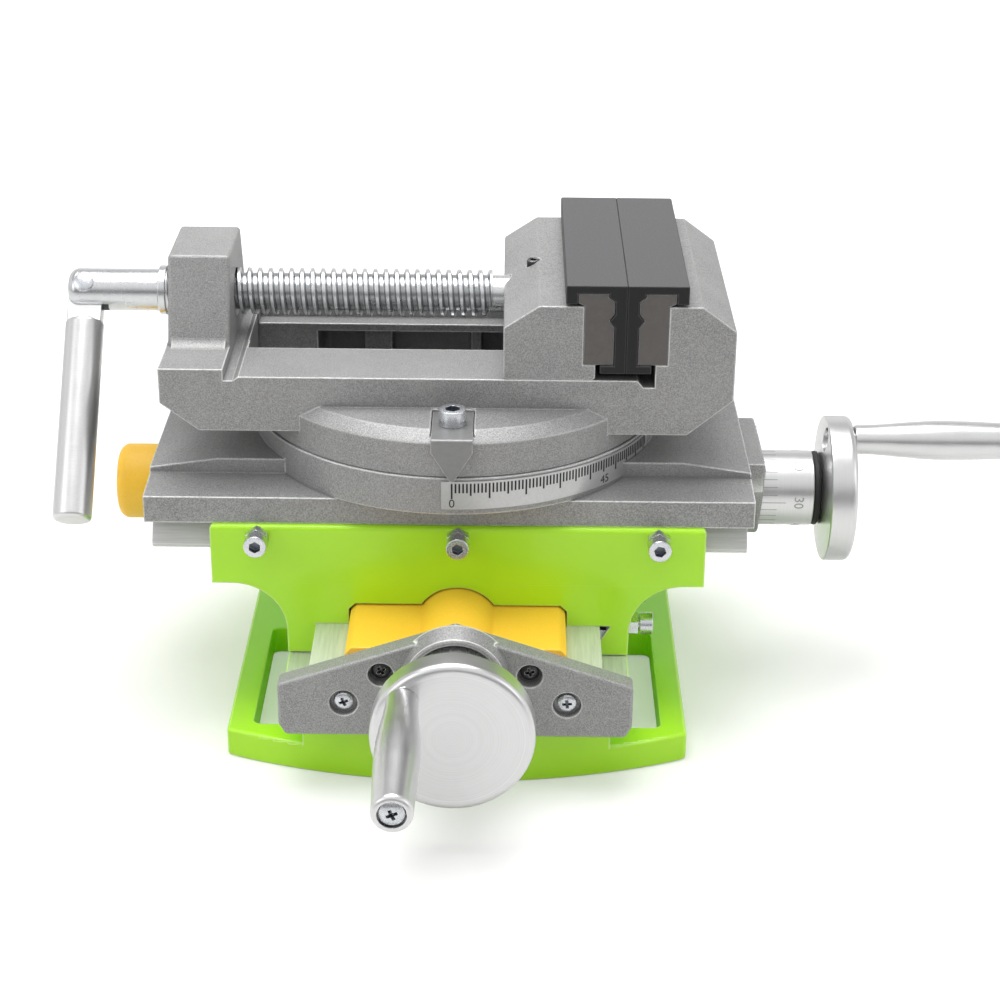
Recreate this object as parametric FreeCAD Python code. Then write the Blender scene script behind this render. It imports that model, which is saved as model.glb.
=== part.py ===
import FreeCAD
import Part
import math
import os

# Cross slide vise, millimetres. +X along the vise, +Y away from the operator, +Z up.
# The origin is the centre of the base's underside. The jaws are closed and both slides
# stand where the operator left them.

# Fits and clearances
RUN = 0.05
FREE = 0.3
COVER_GAP = 0.6

# Base casting
BASE_HALF_X = 86.5
BASE_CORNER_Y = 83.5
BASE_BULGE = 17.7
FLANGE_H = 11.2
BASE_CORNER_R = 3.0
SLOT_IN_X = 58.5
SLOT_OUT_X = 76.8
SLOT_END_Y = 79.5
SLOT_BRIDGE = 7.0
REAR_SLOT_Y = 22.0
SLOT_R = 3.0
BLOCK_HALF_X = 57.0
SHELF_UNDER_Z = 21.0
SHELF_EDGE_Z = 27.0
WAY_HALF_X = 64.0
WAY_Z = 34.0
RAIL_HALF_X = 53.6
RAIL_Z = 47.0
RAIL_END_Y = 99.5
DOVE_ANGLE = 30.0
DOVE_LIP = 1.6
BASE_WALL = 6.0
BASE_ROOF_Z = 24.0
RIB_T = 8.0
Y_CHANNEL_R = 15.8

# Lead screws, nuts and what turns with them
SCREW_R = 6.0
JOURNAL_R = 5.0
SCREW_CHANNEL_R = 7.5
SCREW_END_GAP = 4.0
NUT_LONG = 20.0
NUT_HALF_W = 11.0
DIAL_R = 14.8
DIAL_LONG = 24.4
RING_T = 2.6
RING_R = 14.2
WHEEL_R = 28.7
WHEEL_T = 10.4
WHEEL_RIM_T = 2.5
WHEEL_BEVEL_R = 2.6
WHEEL_BEVEL_L = 2.2
WHEEL_HUB_R = 13.5
WHEEL_HUB_T = 2.1
WHEEL_BORE_R = 4.0
CRANK_R = 22.5
Y_CRANK_DEG = 139.0
X_CRANK_DEG = 97.7
GRIP_LONG = 69.7
GRIP_ROOT_R = 5.7
GRIP_BELLY_R = 7.7
GRIP_END_R = 6.9
GRIP_PIN_R = 3.0
GRIP_HEAD_R = 4.4
GRIP_HEAD_H = 2.6
GRIP_NUT_SINK = 1.2

# Front end plate of the long screw
PLATE_T = 8.0
PLATE_HALF_X = 64.2
PLATE_FOOT_HALF_X = 61.8
PLATE_FOOT_Z = 23.2
PLATE_CUT_Z = 27.6
PLATE_SIDE_Z = 44.0
PLATE_PEAK_Z = 65.8
BOSS_R = 19.0
BOSS_H = 4.8
BOSS_RECESS_R = 16.2
BOSS_RECESS_H = 2.7
OUTER_SCREW_X = 40.4
OUTER_SCREW_Z = 36.6
INNER_SCREW_X = 26.8
INNER_SCREW_Z = 48.4
OUTER_SINK_R = 5.1
OUTER_SINK_H = 3.0
INNER_SINK_R = 4.6
INNER_SINK_H = 5.0
PAN_HEAD_R = 3.6
PAN_HEAD_H = 2.2
PAN_SHANK_R = 2.0
PAN_LONG = 16.0

# Moulded chip cover over the long screw
COVER_HALF_X = 40.2
COVER_WALL = 2.0
COVER_FLAT = 8.1
COVER_CHAMFER = 2.4
COVER_HUMP_R = 15.5
COVER_END_Y = 6.0
COVER_BOSS_R = 4.0
COVER_BOSS_LONG = 11.0

# Saddle
SADDLE_HALF_X = 91.6
SADDLE_HALF_Y = 67.1
SADDLE_TOP_Z = 87.9
SADDLE_BAND = 23.7
SADDLE_EDGE_R = 1.8
BRACKET_R = 19.8
LEG_OUT_X = 64.3
APRON_DRAFT = 1.6
GIB_T = 3.1
GIB_SHORT = 2.5
SADDLE_REAR_T = 27.6
TUNNEL_END_Y = SADDLE_HALF_Y - SADDLE_REAR_T
NUT_BACKING = 2.5
X_DOVE_H = 13.9
X_DOVE_LAND = 16.6
X_DOVE_TOP_Y = SADDLE_HALF_Y - X_DOVE_LAND
X_SCREW_Z = 75.1
CAP_NOTCH_X = -67.0
WING_POCKET_H = 6.5
GIB_SCREW_X = 74.0
GIB_SCREW_DROP = 4.3
SIDE_SCREW_Y = 54.9
SIDE_SCREW_Z = 42.6
M5_R = 2.5
M5_HEAD_R = 4.25
M5_HEAD_H = 5.0
M5_NUT_AF = 8.0
M5_NUT_H = 4.0
M5_HEAD_GAP = 0.6
M5_HEX_AF = 4.0
M5_HEX_DEEP = 2.6

# Upper slide with the swivel ring
SLIDE_X = -2.0
SLIDE_LEFT = 113.9
SLIDE_RIGHT = 111.2
SLIDE_HALF_Y = 65.0
SLIDE_BAND = 10.4
LEDGE_Y = 46.0
LEDGE_RISE = 1.3
SLIDE_STEP = 5.9
END_SLOPE_L = 25.5
END_SLOPE_H = 3.8
TONGUE_SET_BACK = 1.2
SLIDE_CHANNEL_R = 14.4
SWIVEL_R = 78.0
SWIVEL_TOP_Z = 112.7
GROOVE_R = 65.0
GROOVE_W = 6.8
GROOVE_T_W = 11.6
GROOVE_LIP = 3.6
GROOVE_DEEP = 8.6
SWIVEL_RELIEF_R = 50.0
SWIVEL_RELIEF = 1.0
PIVOT_R = 8.0
PIVOT_DEEP = 9.0
PIVOT_UP = 6.0

# Right end bracket of the short screw and the left end cap
BRACKET_T = 8.0
BRACKET_SINK = 3.5
BRACKET_HALF_Y = 23.2
BRACKET_PEAK_UP = 20.9
BRACKET_SIDE_UP = 20.1
BRACKET_CUT_UP = 8.3
BRACKET_LOBE_R = 18.0
BRACKET_SCREW_Y = 17.4
BRACKET_SCREW_UP = 15.3
BRACKET_EDGE_R = 1.0
CAP_R = 14.8
CAP_LONG = 19.6
CAP_WALL = 2.0
CAP_ROUND = 4.0

# Degree scale on the ring
SCALE_T = 0.5
SCALE_GLUE = 0.1
SCALE_BOTTOM_Z = 100.7
SCALE_TOP_GAP = 1.0
SCALE_FROM_DEG = -2.8
SCALE_WIDE_DEG = 53.4
SCALE_TO_DEG = 68.0

# Vise body
DISC_R = 77.0
DISC_GAP = 0.1
DISC_WALL_Z = 125.6
DISC_TOP_Z = 129.3
DISC_CHAMFER = 5.0
BED_UNDER_Z = 119.4
BED_TOP_Z = 140.8
VISE_HALF_Y = 52.3
VISE_LEFT_X = -109.8
VISE_RIGHT_X = 100.3
LEFT_FOOT_X = -95.7
LEFT_FOOT_Z = 130.1
RIGHT_FOOT_X = 83.7
RIGHT_FOOT_Z = 133.2
STEP_Z = 143.6
STEP_RIGHT_X = -86.1
GROOVE_FLOOR = 1.5
GROOVE_FLAT = 3.5
GROOVE_RAMP = 2.1
RIGHT_GROOVE_FLOOR = 2.6
POST_LEFT_X = -109.2
POST_RIGHT_X = -86.1
POST_TOP_Z = 175.3
POST_TOP_HALF_Y = 17.7
POST_FOOT_HALF_Y = 29.3
POST_EDGE_R = 1.5
POST_FOOT_R = 3.0
CHANNEL_HALF_Y = 22.5
CHANNEL_DEEP = 4.0
BED_SLOT_HALF_Y = 15.0
BED_LEDGE_T = 3.0
CAVITY_HALF_Y = 37.0
CAVITY_LEFT_X = -57.0
CAVITY_RIGHT_X = 60.0
CAVITY_FLOOR_Z = 116.6
BED_SLOT_LEFT_X = -80.5
WEB_X = (-34.0, 5.0)
WEB_T = (11.0, 4.0)
FIXED_TOP_X = 87.8
FIXED_SIDE_DROP = 9.3

# Jaws, plates and soft covers; the seam is where the two covers meet
SEAM_X = 60.4
JAW_TOP_DROP = 4.9
JAW_LEFT_X = 16.0
JAW_CHAMFER_H = 8.5
JAW_CHAMFER_X = 28.8
JAW_EDGE_R = 1.5
JAW_TOE_X = 49.5
TONGUE_GAP = 0.1
PLATE_GAP = 0.05
JAW_PLATE_T = 10.9
JAW_PLATE_UP = 6.1
JAW_PLATE_H = 27.3
JAW_PLATE_LIP = 2.4
JAW_PLATE_STEP = 2.3
JAW_STEP_DROP = 3.0
JAW_STEP_BEVEL = 1.6
VEE_UP = 17.0
VEE_HALF = 2.6
VEE_DEEP = 1.9
WEB_THICK = 4.4
CLIP_LIP = 4.3
CLIP_LIP_DROP = 3.8
CLIP_WALL = 2.5
CLIP_ROOF_T = 2.0
CLIP_TOP = 3.1
CLIP_FOOT = 5.0
CLIP_FOOT_H = 3.1
CLIP_GAP = 0.1
CLIP_OVER_Y = 0.8
GRUB_X = 27.0
GRUB_R = 2.5
GRUB_LONG = 6.0
KEEPER_T = 5.0
KEEPER_HALF_Y = 25.0
KEEPER_GAP = 0.2
KEEPER_SCREW_R = 3.0
KEEPER_HEAD_R = 5.0
KEEPER_HEAD_H = 4.0
PLATE_SCREW_Y = 32.0
PLATE_SCREW_UP = 7.1
PLATE_SCREW_LONG = 16.0
PLATE_SCREW_HOLE = 13.0
PLATE_HEAD_SINK = 0.6

# Vise screw and folding handle
VISE_SCREW_Z = 155.3
VISE_SCREW_R = 9.0
VISE_SHAFT_R = 8.0
VISE_COLLAR_R = 9.4
VISE_COLLAR_T = 3.0
VISE_COLLAR_GAP = 3.2
VISE_NECK_R = 7.0
NECK_DEEP = 19.0
NECK_GROOVE_R = 4.8
HANDLE_PIN_X = -143.5
SHAFT_END = 6.5
FORK_SLOT = 6.4
FORK_DEEP = 9.0
HANDLE_PIN_R = 3.0
RIVET_R = 3.9
RIVET_H = 0.9
HANDLE_TILT_DEG = 41.0
TAB_T = 6.0
TAB_HALF_W = 6.5
HANDLE_GRIP_R = 7.25
HANDLE_GRIP_START = 13.4
HANDLE_GRIP_LONG = 78.4

# Swivel clamp and pointer
M6_R = 3.0
M6_HEAD_R = 5.0
M6_HEAD_H = 6.0
M6_HEX_AF = 5.0
M6_HEX_DEEP = 3.0
POINTER_T = 1.5
POINTER_HALF_X = 7.5
POINTER_SEAT = 2.2
WASHER_R = 6.0
WASHER_T = 1.5
T_NUT_LONG = 14.0

# What follows from the sizes above
TAN_DOVE = math.tan(math.radians(DOVE_ANGLE))
COS_DOVE = math.cos(math.radians(DOVE_ANGLE))
GIB_ROOM = (GIB_T + 2 * RUN) / COS_DOVE
RAIL_FOOT_X = RAIL_HALF_X - (RAIL_Z - WAY_Z) * TAN_DOVE
Y_SCREW_Z = RAIL_Z
PLATE_BACK_Y = -RAIL_END_Y
PLATE_FRONT_Y = PLATE_BACK_Y - PLATE_T
Y_RECESS_Y = PLATE_FRONT_Y - BOSS_H + BOSS_RECESS_H
SLIDE_BOTTOM_Z = SADDLE_TOP_Z + RUN
BAND_TOP_Z = SLIDE_BOTTOM_Z + SLIDE_BAND
LEDGE_BACK_Z = BAND_TOP_Z + LEDGE_RISE
SLIDE_TOP_Z = LEDGE_BACK_Z + SLIDE_STEP
TONGUE_Z = SLIDE_BOTTOM_Z - X_DOVE_H
TONGUE_FOOT_Y = X_DOVE_TOP_Y + (X_DOVE_H - DOVE_LIP) * TAN_DOVE
X_FLOOR_Z = TONGUE_Z - FREE
SLIDE_X0 = SLIDE_X - SLIDE_LEFT
SLIDE_X1 = SLIDE_X + SLIDE_RIGHT
BRACKET_X1 = SLIDE_X1 + BRACKET_T
X_RECESS_X = BRACKET_X1 - BRACKET_SINK
BRACKET_SCREW_Z = X_SCREW_Z + BRACKET_SCREW_UP
DISC_BOTTOM_Z = SWIVEL_TOP_Z + DISC_GAP
CHANNEL_Z = BED_TOP_Z - CHANNEL_DEEP
LEDGE_UNDER_Z = CHANNEL_Z - BED_LEDGE_T
COVER_TOP_Z = RAIL_Z + COVER_FLAT
JAW_PLATE_FOOT_Z = BED_TOP_Z + JAW_PLATE_UP
JAW_PLATE_TOP_Z = JAW_PLATE_FOOT_Z + JAW_PLATE_H
JAW_PLATE_STEP_Z = JAW_PLATE_TOP_Z - JAW_STEP_DROP
JAW_TOP_Z = JAW_PLATE_TOP_Z - JAW_TOP_DROP
JAW_CHAMFER_Z = JAW_TOP_Z - JAW_CHAMFER_H
FIXED_SIDE_Z = JAW_TOP_Z - FIXED_SIDE_DROP
VEE_Z = JAW_PLATE_FOOT_Z + VEE_UP
CLIP_LIP_Z = JAW_PLATE_TOP_Z - CLIP_LIP_DROP
CLIP_ROOF_Z = JAW_PLATE_TOP_Z - CLIP_ROOF_T
PLATE_SCREW_Z = JAW_PLATE_FOOT_Z + PLATE_SCREW_UP
NUT_UP = 3.0


def vec(x, y, z):
    return FreeCAD.Vector(x, y, z)


def box(x0, x1, y0, y1, z0, z1):
    return Part.makeBox(x1 - x0, y1 - y0, z1 - z0, vec(x0, y0, z0))


def cyl_x(r, y, z, x0, x1):
    return Part.makeCylinder(r, x1 - x0, vec(x0, y, z), vec(1, 0, 0))


def cyl_y(r, x, z, y0, y1):
    return Part.makeCylinder(r, y1 - y0, vec(x, y0, z), vec(0, 1, 0))


def cyl_z(r, x, y, z0, z1):
    return Part.makeCylinder(r, z1 - z0, vec(x, y, z0), vec(0, 0, 1))


def outline(points, place):
    """Closed face from corner points; a point of four numbers is an arc: middle, then end."""
    edges = []
    start = points[0][-2:]
    last = start
    for item in list(points[1:]) + [start]:
        end = item[-2:]
        if len(item) == 4:
            edges.append(Part.Arc(place(*last), place(*item[:2]), place(*end)).toShape())
        elif math.dist(last, end) > 1e-6:
            edges.append(Part.makeLine(place(*last), place(*end)))
        last = end
    return Part.Face(Part.Wire(edges))


def prism_x(points, x0, x1):
    """Solid along X from an outline in Y and Z."""
    return outline(points, lambda a, b: vec(x0, a, b)).extrude(vec(x1 - x0, 0, 0))


def prism_y(points, y0, y1):
    """Solid along Y from an outline in X and Z."""
    return outline(points, lambda a, b: vec(a, y0, b)).extrude(vec(0, y1 - y0, 0))


def prism_z(points, z0, z1):
    """Solid along Z from an outline in X and Y."""
    return outline(points, lambda a, b: vec(a, b, z0)).extrude(vec(0, 0, z1 - z0))


def turned(points, origin, axis, side):
    """Solid of revolution: points are distance along the axis and radius."""
    face = outline(points, lambda a, r: origin + axis * a + side * r)
    return face.revolve(origin, axis, 360)


def dome(along, radius, height):
    """Arc from the rim of a domed head to its tip on the axis, for a turned outline."""
    sphere = (radius ** 2 + height ** 2) / (2 * height)
    middle = radius / 2
    drop = sphere - math.sqrt(sphere ** 2 - middle ** 2)
    return (along + height - drop, middle, along + height, 0)


def hexagon(af, x, y, z, axis, length, turn=0.0):
    """Hexagonal prism from the given point along the axis; af is the width across flats."""
    corner = af / math.sqrt(3)
    ring = []
    for i in range(6):
        a = math.radians(60 * i + turn)
        ring.append(vec(corner * math.cos(a), corner * math.sin(a), 0))
    face = Part.Face(Part.makePolygon(ring + [ring[0]]))
    solid = face.extrude(vec(0, 0, length))
    solid.Placement = FreeCAD.Placement(vec(x, y, z), FreeCAD.Rotation(vec(0, 0, 1), axis))
    return solid


def round_edges(solid, radius, wanted):
    """Fillet the edges whose two end points both satisfy the test."""
    chosen = []
    for edge in solid.Edges:
        ends = [v.Point for v in edge.Vertexes]
        if len(ends) == 2 and wanted(ends[0], ends[1]):
            chosen.append(edge)
    return solid.makeFillet(radius, chosen)


def near(a, b):
    return abs(a - b) < 1e-4


def upright(p, q):
    return near(p.x, q.x) and near(p.y, q.y)


def mirror_y(solid):
    return solid.mirror(vec(0, 0, 0), vec(0, 1, 0))


def cap_screw(r, head_r, head_h, hex_af, hex_deep, tip, axis, length):
    """Socket cap screw: tip is the end of the shank, axis points from tip to head."""
    side = vec(1, 0, 0) if abs(axis.x) < 0.5 else vec(0, 1, 0)
    edge = 0.5
    body = turned(
        [(0, 0), (0, r - edge), (edge, r), (length, r), (length, head_r),
         (length + head_h - edge, head_r), (length + head_h, head_r - edge), (length + head_h, 0)],
        tip, axis, side)
    mouth = tip + axis * (length + head_h)
    socket = hexagon(hex_af, mouth.x, mouth.y, mouth.z, axis * -1, hex_deep)
    return body.cut(socket)


def pan_screw(face, axis, length):
    """Pan head screw: face is the centre of the seat under the head, axis points out."""
    side = vec(1, 0, 0) if abs(axis.x) < 0.5 else vec(0, 1, 0)
    crown = PAN_HEAD_H * 0.45
    return turned(
        [(-length, 0), (-length, PAN_SHANK_R), (0, PAN_SHANK_R), (0, PAN_HEAD_R),
         (PAN_HEAD_H - crown, PAN_HEAD_R), dome(PAN_HEAD_H - crown, PAN_HEAD_R, crown)],
        face, axis, side)


def base_plan(z0, z1):
    tip = BASE_CORNER_Y + BASE_BULGE
    solid = prism_z(
        [(-BASE_HALF_X, -BASE_CORNER_Y), (0, -tip, BASE_HALF_X, -BASE_CORNER_Y),
         (BASE_HALF_X, BASE_CORNER_Y), (0, tip, -BASE_HALF_X, BASE_CORNER_Y)], z0, z1)
    return round_edges(solid, BASE_CORNER_R, upright)


def slot_cut(side, end):
    """One of the four clamping slots in the flange; side and end are plus or minus one."""
    xs = sorted((side * SLOT_IN_X, side * SLOT_OUT_X))
    start = SLOT_BRIDGE / 2 if end < 0 else REAR_SLOT_Y
    ys = sorted((end * start, end * SLOT_END_Y))
    solid = box(xs[0], xs[1], ys[0], ys[1], -1, FLANGE_H + 1)
    return round_edges(solid, SLOT_R, upright)


def make_base():
    flange = base_plan(0, FLANGE_H)
    flange = round_edges(flange, 1.4, lambda p, q: near(p.z, FLANGE_H) and near(q.z, FLANGE_H))
    block = base_plan(0, SHELF_UNDER_Z + 1).common(
        box(-BLOCK_HALF_X, BLOCK_HALF_X, -150, 150, 0, SHELF_UNDER_Z + 1))
    shelf = prism_y(
        [(-BLOCK_HALF_X, SHELF_UNDER_Z), (BLOCK_HALF_X, SHELF_UNDER_Z), (WAY_HALF_X, SHELF_EDGE_Z),
         (WAY_HALF_X, WAY_Z), (RAIL_FOOT_X, WAY_Z), (RAIL_HALF_X, RAIL_Z), (-RAIL_HALF_X, RAIL_Z),
         (-RAIL_FOOT_X, WAY_Z), (-WAY_HALF_X, WAY_Z), (-WAY_HALF_X, SHELF_EDGE_Z)],
        -RAIL_END_Y, RAIL_END_Y)
    solid = flange.fuse([block, shelf])
    bulge = base_plan(SHELF_UNDER_Z, SHELF_UNDER_Z + 2)
    solid = solid.cut(bulge.cut(box(-BASE_HALF_X, BASE_HALF_X, -RAIL_END_Y, RAIL_END_Y, 0, RAIL_Z)))
    cuts = [cyl_y(Y_CHANNEL_R, 0, Y_SCREW_Z, -RAIL_END_Y - 1, RAIL_END_Y + 1)]
    for side in (-1, 1):
        for end in (-1, 1):
            cuts.append(slot_cut(side, end))
        cuts.append(cyl_y(PAN_SHANK_R, side * OUTER_SCREW_X, OUTER_SCREW_Z,
                          -RAIL_END_Y - 1, -RAIL_END_Y + PAN_LONG))
        cuts.append(cyl_y(COVER_BOSS_R + FREE, side * INNER_SCREW_X, INNER_SCREW_Z,
                          -RAIL_END_Y - 1, -RAIL_END_Y + COVER_BOSS_LONG + FREE))
    cuts += underside_cavities()
    return solid.cut(cuts).removeSplitter()


def underside_cavities():
    """Hollows under the cast block, parted by a cross rib."""
    inner_x = BLOCK_HALF_X - BASE_WALL
    end_y = BASE_CORNER_Y
    cavities = []
    for y0, y1 in ((-end_y, -RIB_T / 2), (RIB_T / 2, end_y)):
        hollow = box(-inner_x, inner_x, y0, y1, -1, BASE_ROOF_Z)
        cavities.append(round_edges(hollow, 5.0, upright))
    return cavities


def cover_profile(grow, floor):
    """Section of the chip cover, grown outwards all round; floor is its lowest Z."""
    half = COVER_HALF_X + grow
    top = COVER_TOP_Z + grow
    hump = COVER_HUMP_R + grow
    foot = math.sqrt(hump ** 2 - (top - Y_SCREW_Z) ** 2)
    return [(-half, floor), (-half, top - COVER_CHAMFER), (-half + COVER_CHAMFER, top), (-foot, top),
            (0, Y_SCREW_Z + hump, foot, top), (half - COVER_CHAMFER, top),
            (half, top - COVER_CHAMFER), (half, floor)]


def make_y_screw_cover():
    shell = prism_y(cover_profile(0, RAIL_Z), -RAIL_END_Y, COVER_END_Y)
    shell = shell.cut(prism_y(cover_profile(-COVER_WALL, RAIL_Z - 1), -RAIL_END_Y - 1, COVER_END_Y + 1))
    parts = []
    for side in (-1, 1):
        x = side * INNER_SCREW_X
        post = cyl_y(COVER_BOSS_R, x, INNER_SCREW_Z, -RAIL_END_Y, -RAIL_END_Y + COVER_BOSS_LONG)
        stem = box(x - 1.5, x + 1.5, -RAIL_END_Y, -RAIL_END_Y + COVER_BOSS_LONG,
                   INNER_SCREW_Z, COVER_TOP_Z - COVER_WALL / 2)
        parts.append(post.fuse(stem))
    solid = shell.fuse(parts)
    holes = [cyl_y(PAN_SHANK_R, s * INNER_SCREW_X, INNER_SCREW_Z, -RAIL_END_Y - 1,
                   -RAIL_END_Y + PAN_LONG) for s in (-1, 1)]
    return solid.cut(holes).removeSplitter()


def make_y_end_plate():
    plate = prism_y(
        [(-PLATE_FOOT_HALF_X, PLATE_FOOT_Z), (PLATE_FOOT_HALF_X, PLATE_FOOT_Z), (PLATE_HALF_X, PLATE_CUT_Z),
         (PLATE_HALF_X, PLATE_SIDE_Z), (0, PLATE_PEAK_Z), (-PLATE_HALF_X, PLATE_SIDE_Z),
         (-PLATE_HALF_X, PLATE_CUT_Z)], PLATE_FRONT_Y, PLATE_BACK_Y)
    plate = round_edges(plate, 2.0, lambda p, q: near(p.x, q.x) and near(p.z, q.z) and abs(p.x) > 50)
    plate = round_edges(plate, 1.0, lambda p, q: near(p.y, PLATE_FRONT_Y) and near(q.y, PLATE_FRONT_Y))
    boss = turned([(0, 0), (0, BOSS_R + 1.5), (BOSS_H + 2, BOSS_R - 0.6), (BOSS_H + 2.8, BOSS_R - 1.4),
                   (BOSS_H + 2.8, 0)], vec(0, PLATE_FRONT_Y + 2.8, Y_SCREW_Z), vec(0, -1, 0), vec(1, 0, 0))
    solid = plate.fuse(boss)
    front = PLATE_FRONT_Y - BOSS_H - 1
    cuts = [cyl_y(BOSS_RECESS_R, 0, Y_SCREW_Z, front, Y_RECESS_Y),
            cyl_y(JOURNAL_R + RUN, 0, Y_SCREW_Z, front, PLATE_BACK_Y + 1)]
    for side in (-1, 1):
        for x, z, sink_r, sink_h in ((OUTER_SCREW_X, OUTER_SCREW_Z, OUTER_SINK_R, OUTER_SINK_H),
                                     (INNER_SCREW_X, INNER_SCREW_Z, INNER_SINK_R, INNER_SINK_H)):
            cuts.append(cyl_y(sink_r, side * x, z, front, PLATE_FRONT_Y + sink_h))
            cuts.append(cyl_y(PAN_SHANK_R + RUN, side * x, z, front, PLATE_BACK_Y + 1))
    return solid.cut(cuts).removeSplitter()


def inner_screw_long():
    """Length under the head of the screws that end inside the cover's bosses."""
    return PLATE_T - INNER_SINK_H + COVER_BOSS_LONG - 1


def make_end_plate_screws():
    screws = []
    for side in (-1, 1):
        for x, z, sink_h, length in ((OUTER_SCREW_X, OUTER_SCREW_Z, OUTER_SINK_H, PAN_LONG),
                                     (INNER_SCREW_X, INNER_SCREW_Z, INNER_SINK_H, inner_screw_long())):
            seat = vec(side * x, PLATE_FRONT_Y + sink_h, z)
            screws.append(pan_screw(seat, vec(0, -1, 0), length))
    return Part.makeCompound(screws)


def lead_screw(origin, axis, side, seat, far, inner, outer):
    """Lead screw: thread from far to seat, then the journal out to the wheel's face."""
    edge = 1.0
    return turned(
        [(far, 0), (far, SCREW_R - edge), (far + edge, SCREW_R), (inner, SCREW_R), (inner, JOURNAL_R),
         (seat, JOURNAL_R), (seat, WHEEL_BORE_R), (outer, WHEEL_BORE_R), (outer, 0)], origin, axis, side)


def wheel_start():
    """Distance from the recess floor or bracket face to the back of the wheel."""
    return FREE + DIAL_LONG + RING_T + WHEEL_HUB_T


def make_dial(origin, axis, side):
    edge = 0.8
    return turned(
        [(FREE, JOURNAL_R + RUN), (FREE, DIAL_R - edge), (FREE + edge, DIAL_R), (FREE + DIAL_LONG - edge, DIAL_R),
         (FREE + DIAL_LONG, DIAL_R - edge), (FREE + DIAL_LONG, JOURNAL_R + RUN)], origin, axis, side)


def make_ring(origin, axis, side):
    """Rubber ring between dial and wheel."""
    a = FREE + DIAL_LONG
    belly = RING_R + 0.5
    return turned([(a, JOURNAL_R + RUN), (a, RING_R), (a + RING_T / 2, belly, a + RING_T, RING_R),
                   (a + RING_T, JOURNAL_R + RUN)], origin, axis, side)


def crank_point(origin, along, axis, crank_deg, level):
    """Centre of the crank pin at a distance along the wheel's axis."""
    a = math.radians(crank_deg)
    return origin + axis * along + level * (CRANK_R * math.cos(a)) + vec(0, 0, CRANK_R * math.sin(a))


def make_wheel(origin, axis, side, crank_deg):
    a = wheel_start()
    b = a + WHEEL_T
    body = turned(
        [(a - WHEEL_HUB_T, WHEEL_BORE_R), (a - WHEEL_HUB_T, WHEEL_HUB_R), (a, WHEEL_R - WHEEL_RIM_T),
         (a, WHEEL_R - 0.8), (a + 0.8, WHEEL_R), (b - WHEEL_BEVEL_L, WHEEL_R),
         (b - WHEEL_BEVEL_L * 0.3, WHEEL_R - WHEEL_BEVEL_R * 0.3, b, WHEEL_R - WHEEL_BEVEL_R),
         (b, WHEEL_BORE_R)], origin, axis, side)
    start = crank_point(origin, a - WHEEL_HUB_T, axis, crank_deg, side)
    hole = Part.makeCylinder(GRIP_PIN_R + RUN, WHEEL_T + WHEEL_HUB_T + 1, start, axis)
    sink_deep = WHEEL_HUB_T + GRIP_NUT_SINK + GRIP_HEAD_H
    nut_sink = Part.makeCylinder(GRIP_HEAD_R + FREE, sink_deep, start, axis)
    return body.cut([hole, nut_sink])


def grip_profile(start, bore):
    """Barrel grip: waist at the wheel, belly, then a rounded end."""
    end = start + GRIP_LONG
    belly = start + GRIP_LONG * 0.5
    return [(start, bore), (start, GRIP_ROOT_R - 0.5), (start + 0.6, GRIP_ROOT_R), (start + 4, GRIP_ROOT_R),
            (start + GRIP_LONG * 0.22, GRIP_ROOT_R + (GRIP_BELLY_R - GRIP_ROOT_R) * 0.62, belly, GRIP_BELLY_R),
            (end - GRIP_LONG * 0.25, GRIP_BELLY_R - 0.15, end - 2.4, GRIP_END_R),
            (end - 0.7, GRIP_END_R - 0.9, end, GRIP_END_R - 2.4), (end, bore)]


def grip_start():
    return wheel_start() + WHEEL_T + FREE


def make_grip(origin, axis, side, crank_deg):
    foot = crank_point(origin, 0, axis, crank_deg, side)
    body = turned(grip_profile(grip_start(), GRIP_PIN_R + RUN), foot, axis, side)
    mouth = foot + axis * (grip_start() + GRIP_LONG - GRIP_HEAD_H)
    return body.cut(Part.makeCylinder(GRIP_HEAD_R + FREE, GRIP_HEAD_H + 1, mouth, axis))


def make_grip_bolt(origin, axis, side, crank_deg):
    """Pin through the wheel and the grip, with a nut behind the wheel and a head in the grip's end."""
    foot = crank_point(origin, 0, axis, crank_deg, side)
    back = wheel_start() + GRIP_NUT_SINK
    tip = grip_start() + GRIP_LONG - GRIP_HEAD_H
    crown = GRIP_HEAD_H * 0.5
    return turned(
        [(back, 0), (back, GRIP_HEAD_R), (back + GRIP_HEAD_H, GRIP_HEAD_R), (back + GRIP_HEAD_H, GRIP_PIN_R),
         (tip + RUN, GRIP_PIN_R), (tip + RUN, GRIP_HEAD_R), (tip + GRIP_HEAD_H - crown, GRIP_HEAD_R),
         dome(tip + GRIP_HEAD_H - crown, GRIP_HEAD_R, crown)], foot, axis, side)


def nut_block(x0, x1, y0, y1, z0, z1, axis_z, along_x):
    solid = box(x0, x1, y0, y1, z0, z1)
    if along_x:
        bore = cyl_x(SCREW_R + RUN, (y0 + y1) / 2, axis_z, x0 - 1, x1 + 1)
    else:
        bore = cyl_y(SCREW_R + RUN, (x0 + x1) / 2, axis_z, y0 - 1, y1 + 1)
    return round_edges(solid, 1.0, upright).cut(bore)


def y_nut_box(gap):
    y0 = TUNNEL_END_Y + NUT_BACKING
    return (-NUT_HALF_W - gap, NUT_HALF_W + gap, y0 - gap, y0 + NUT_LONG + gap,
            Y_SCREW_Z - 9.0, Y_SCREW_Z + NUT_HALF_W + gap)


def x_nut_box(gap):
    x0 = 25.0
    return (x0 - gap, x0 + NUT_LONG + gap, -NUT_HALF_W - gap, NUT_HALF_W + gap,
            X_SCREW_Z - 9.0 - gap, X_SCREW_Z + 8.5)


def make_y_nut():
    x0, x1, y0, y1, z0, z1 = y_nut_box(0)
    return nut_block(x0, x1, y0, y1, z0, z1, Y_SCREW_Z, False)


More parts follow.
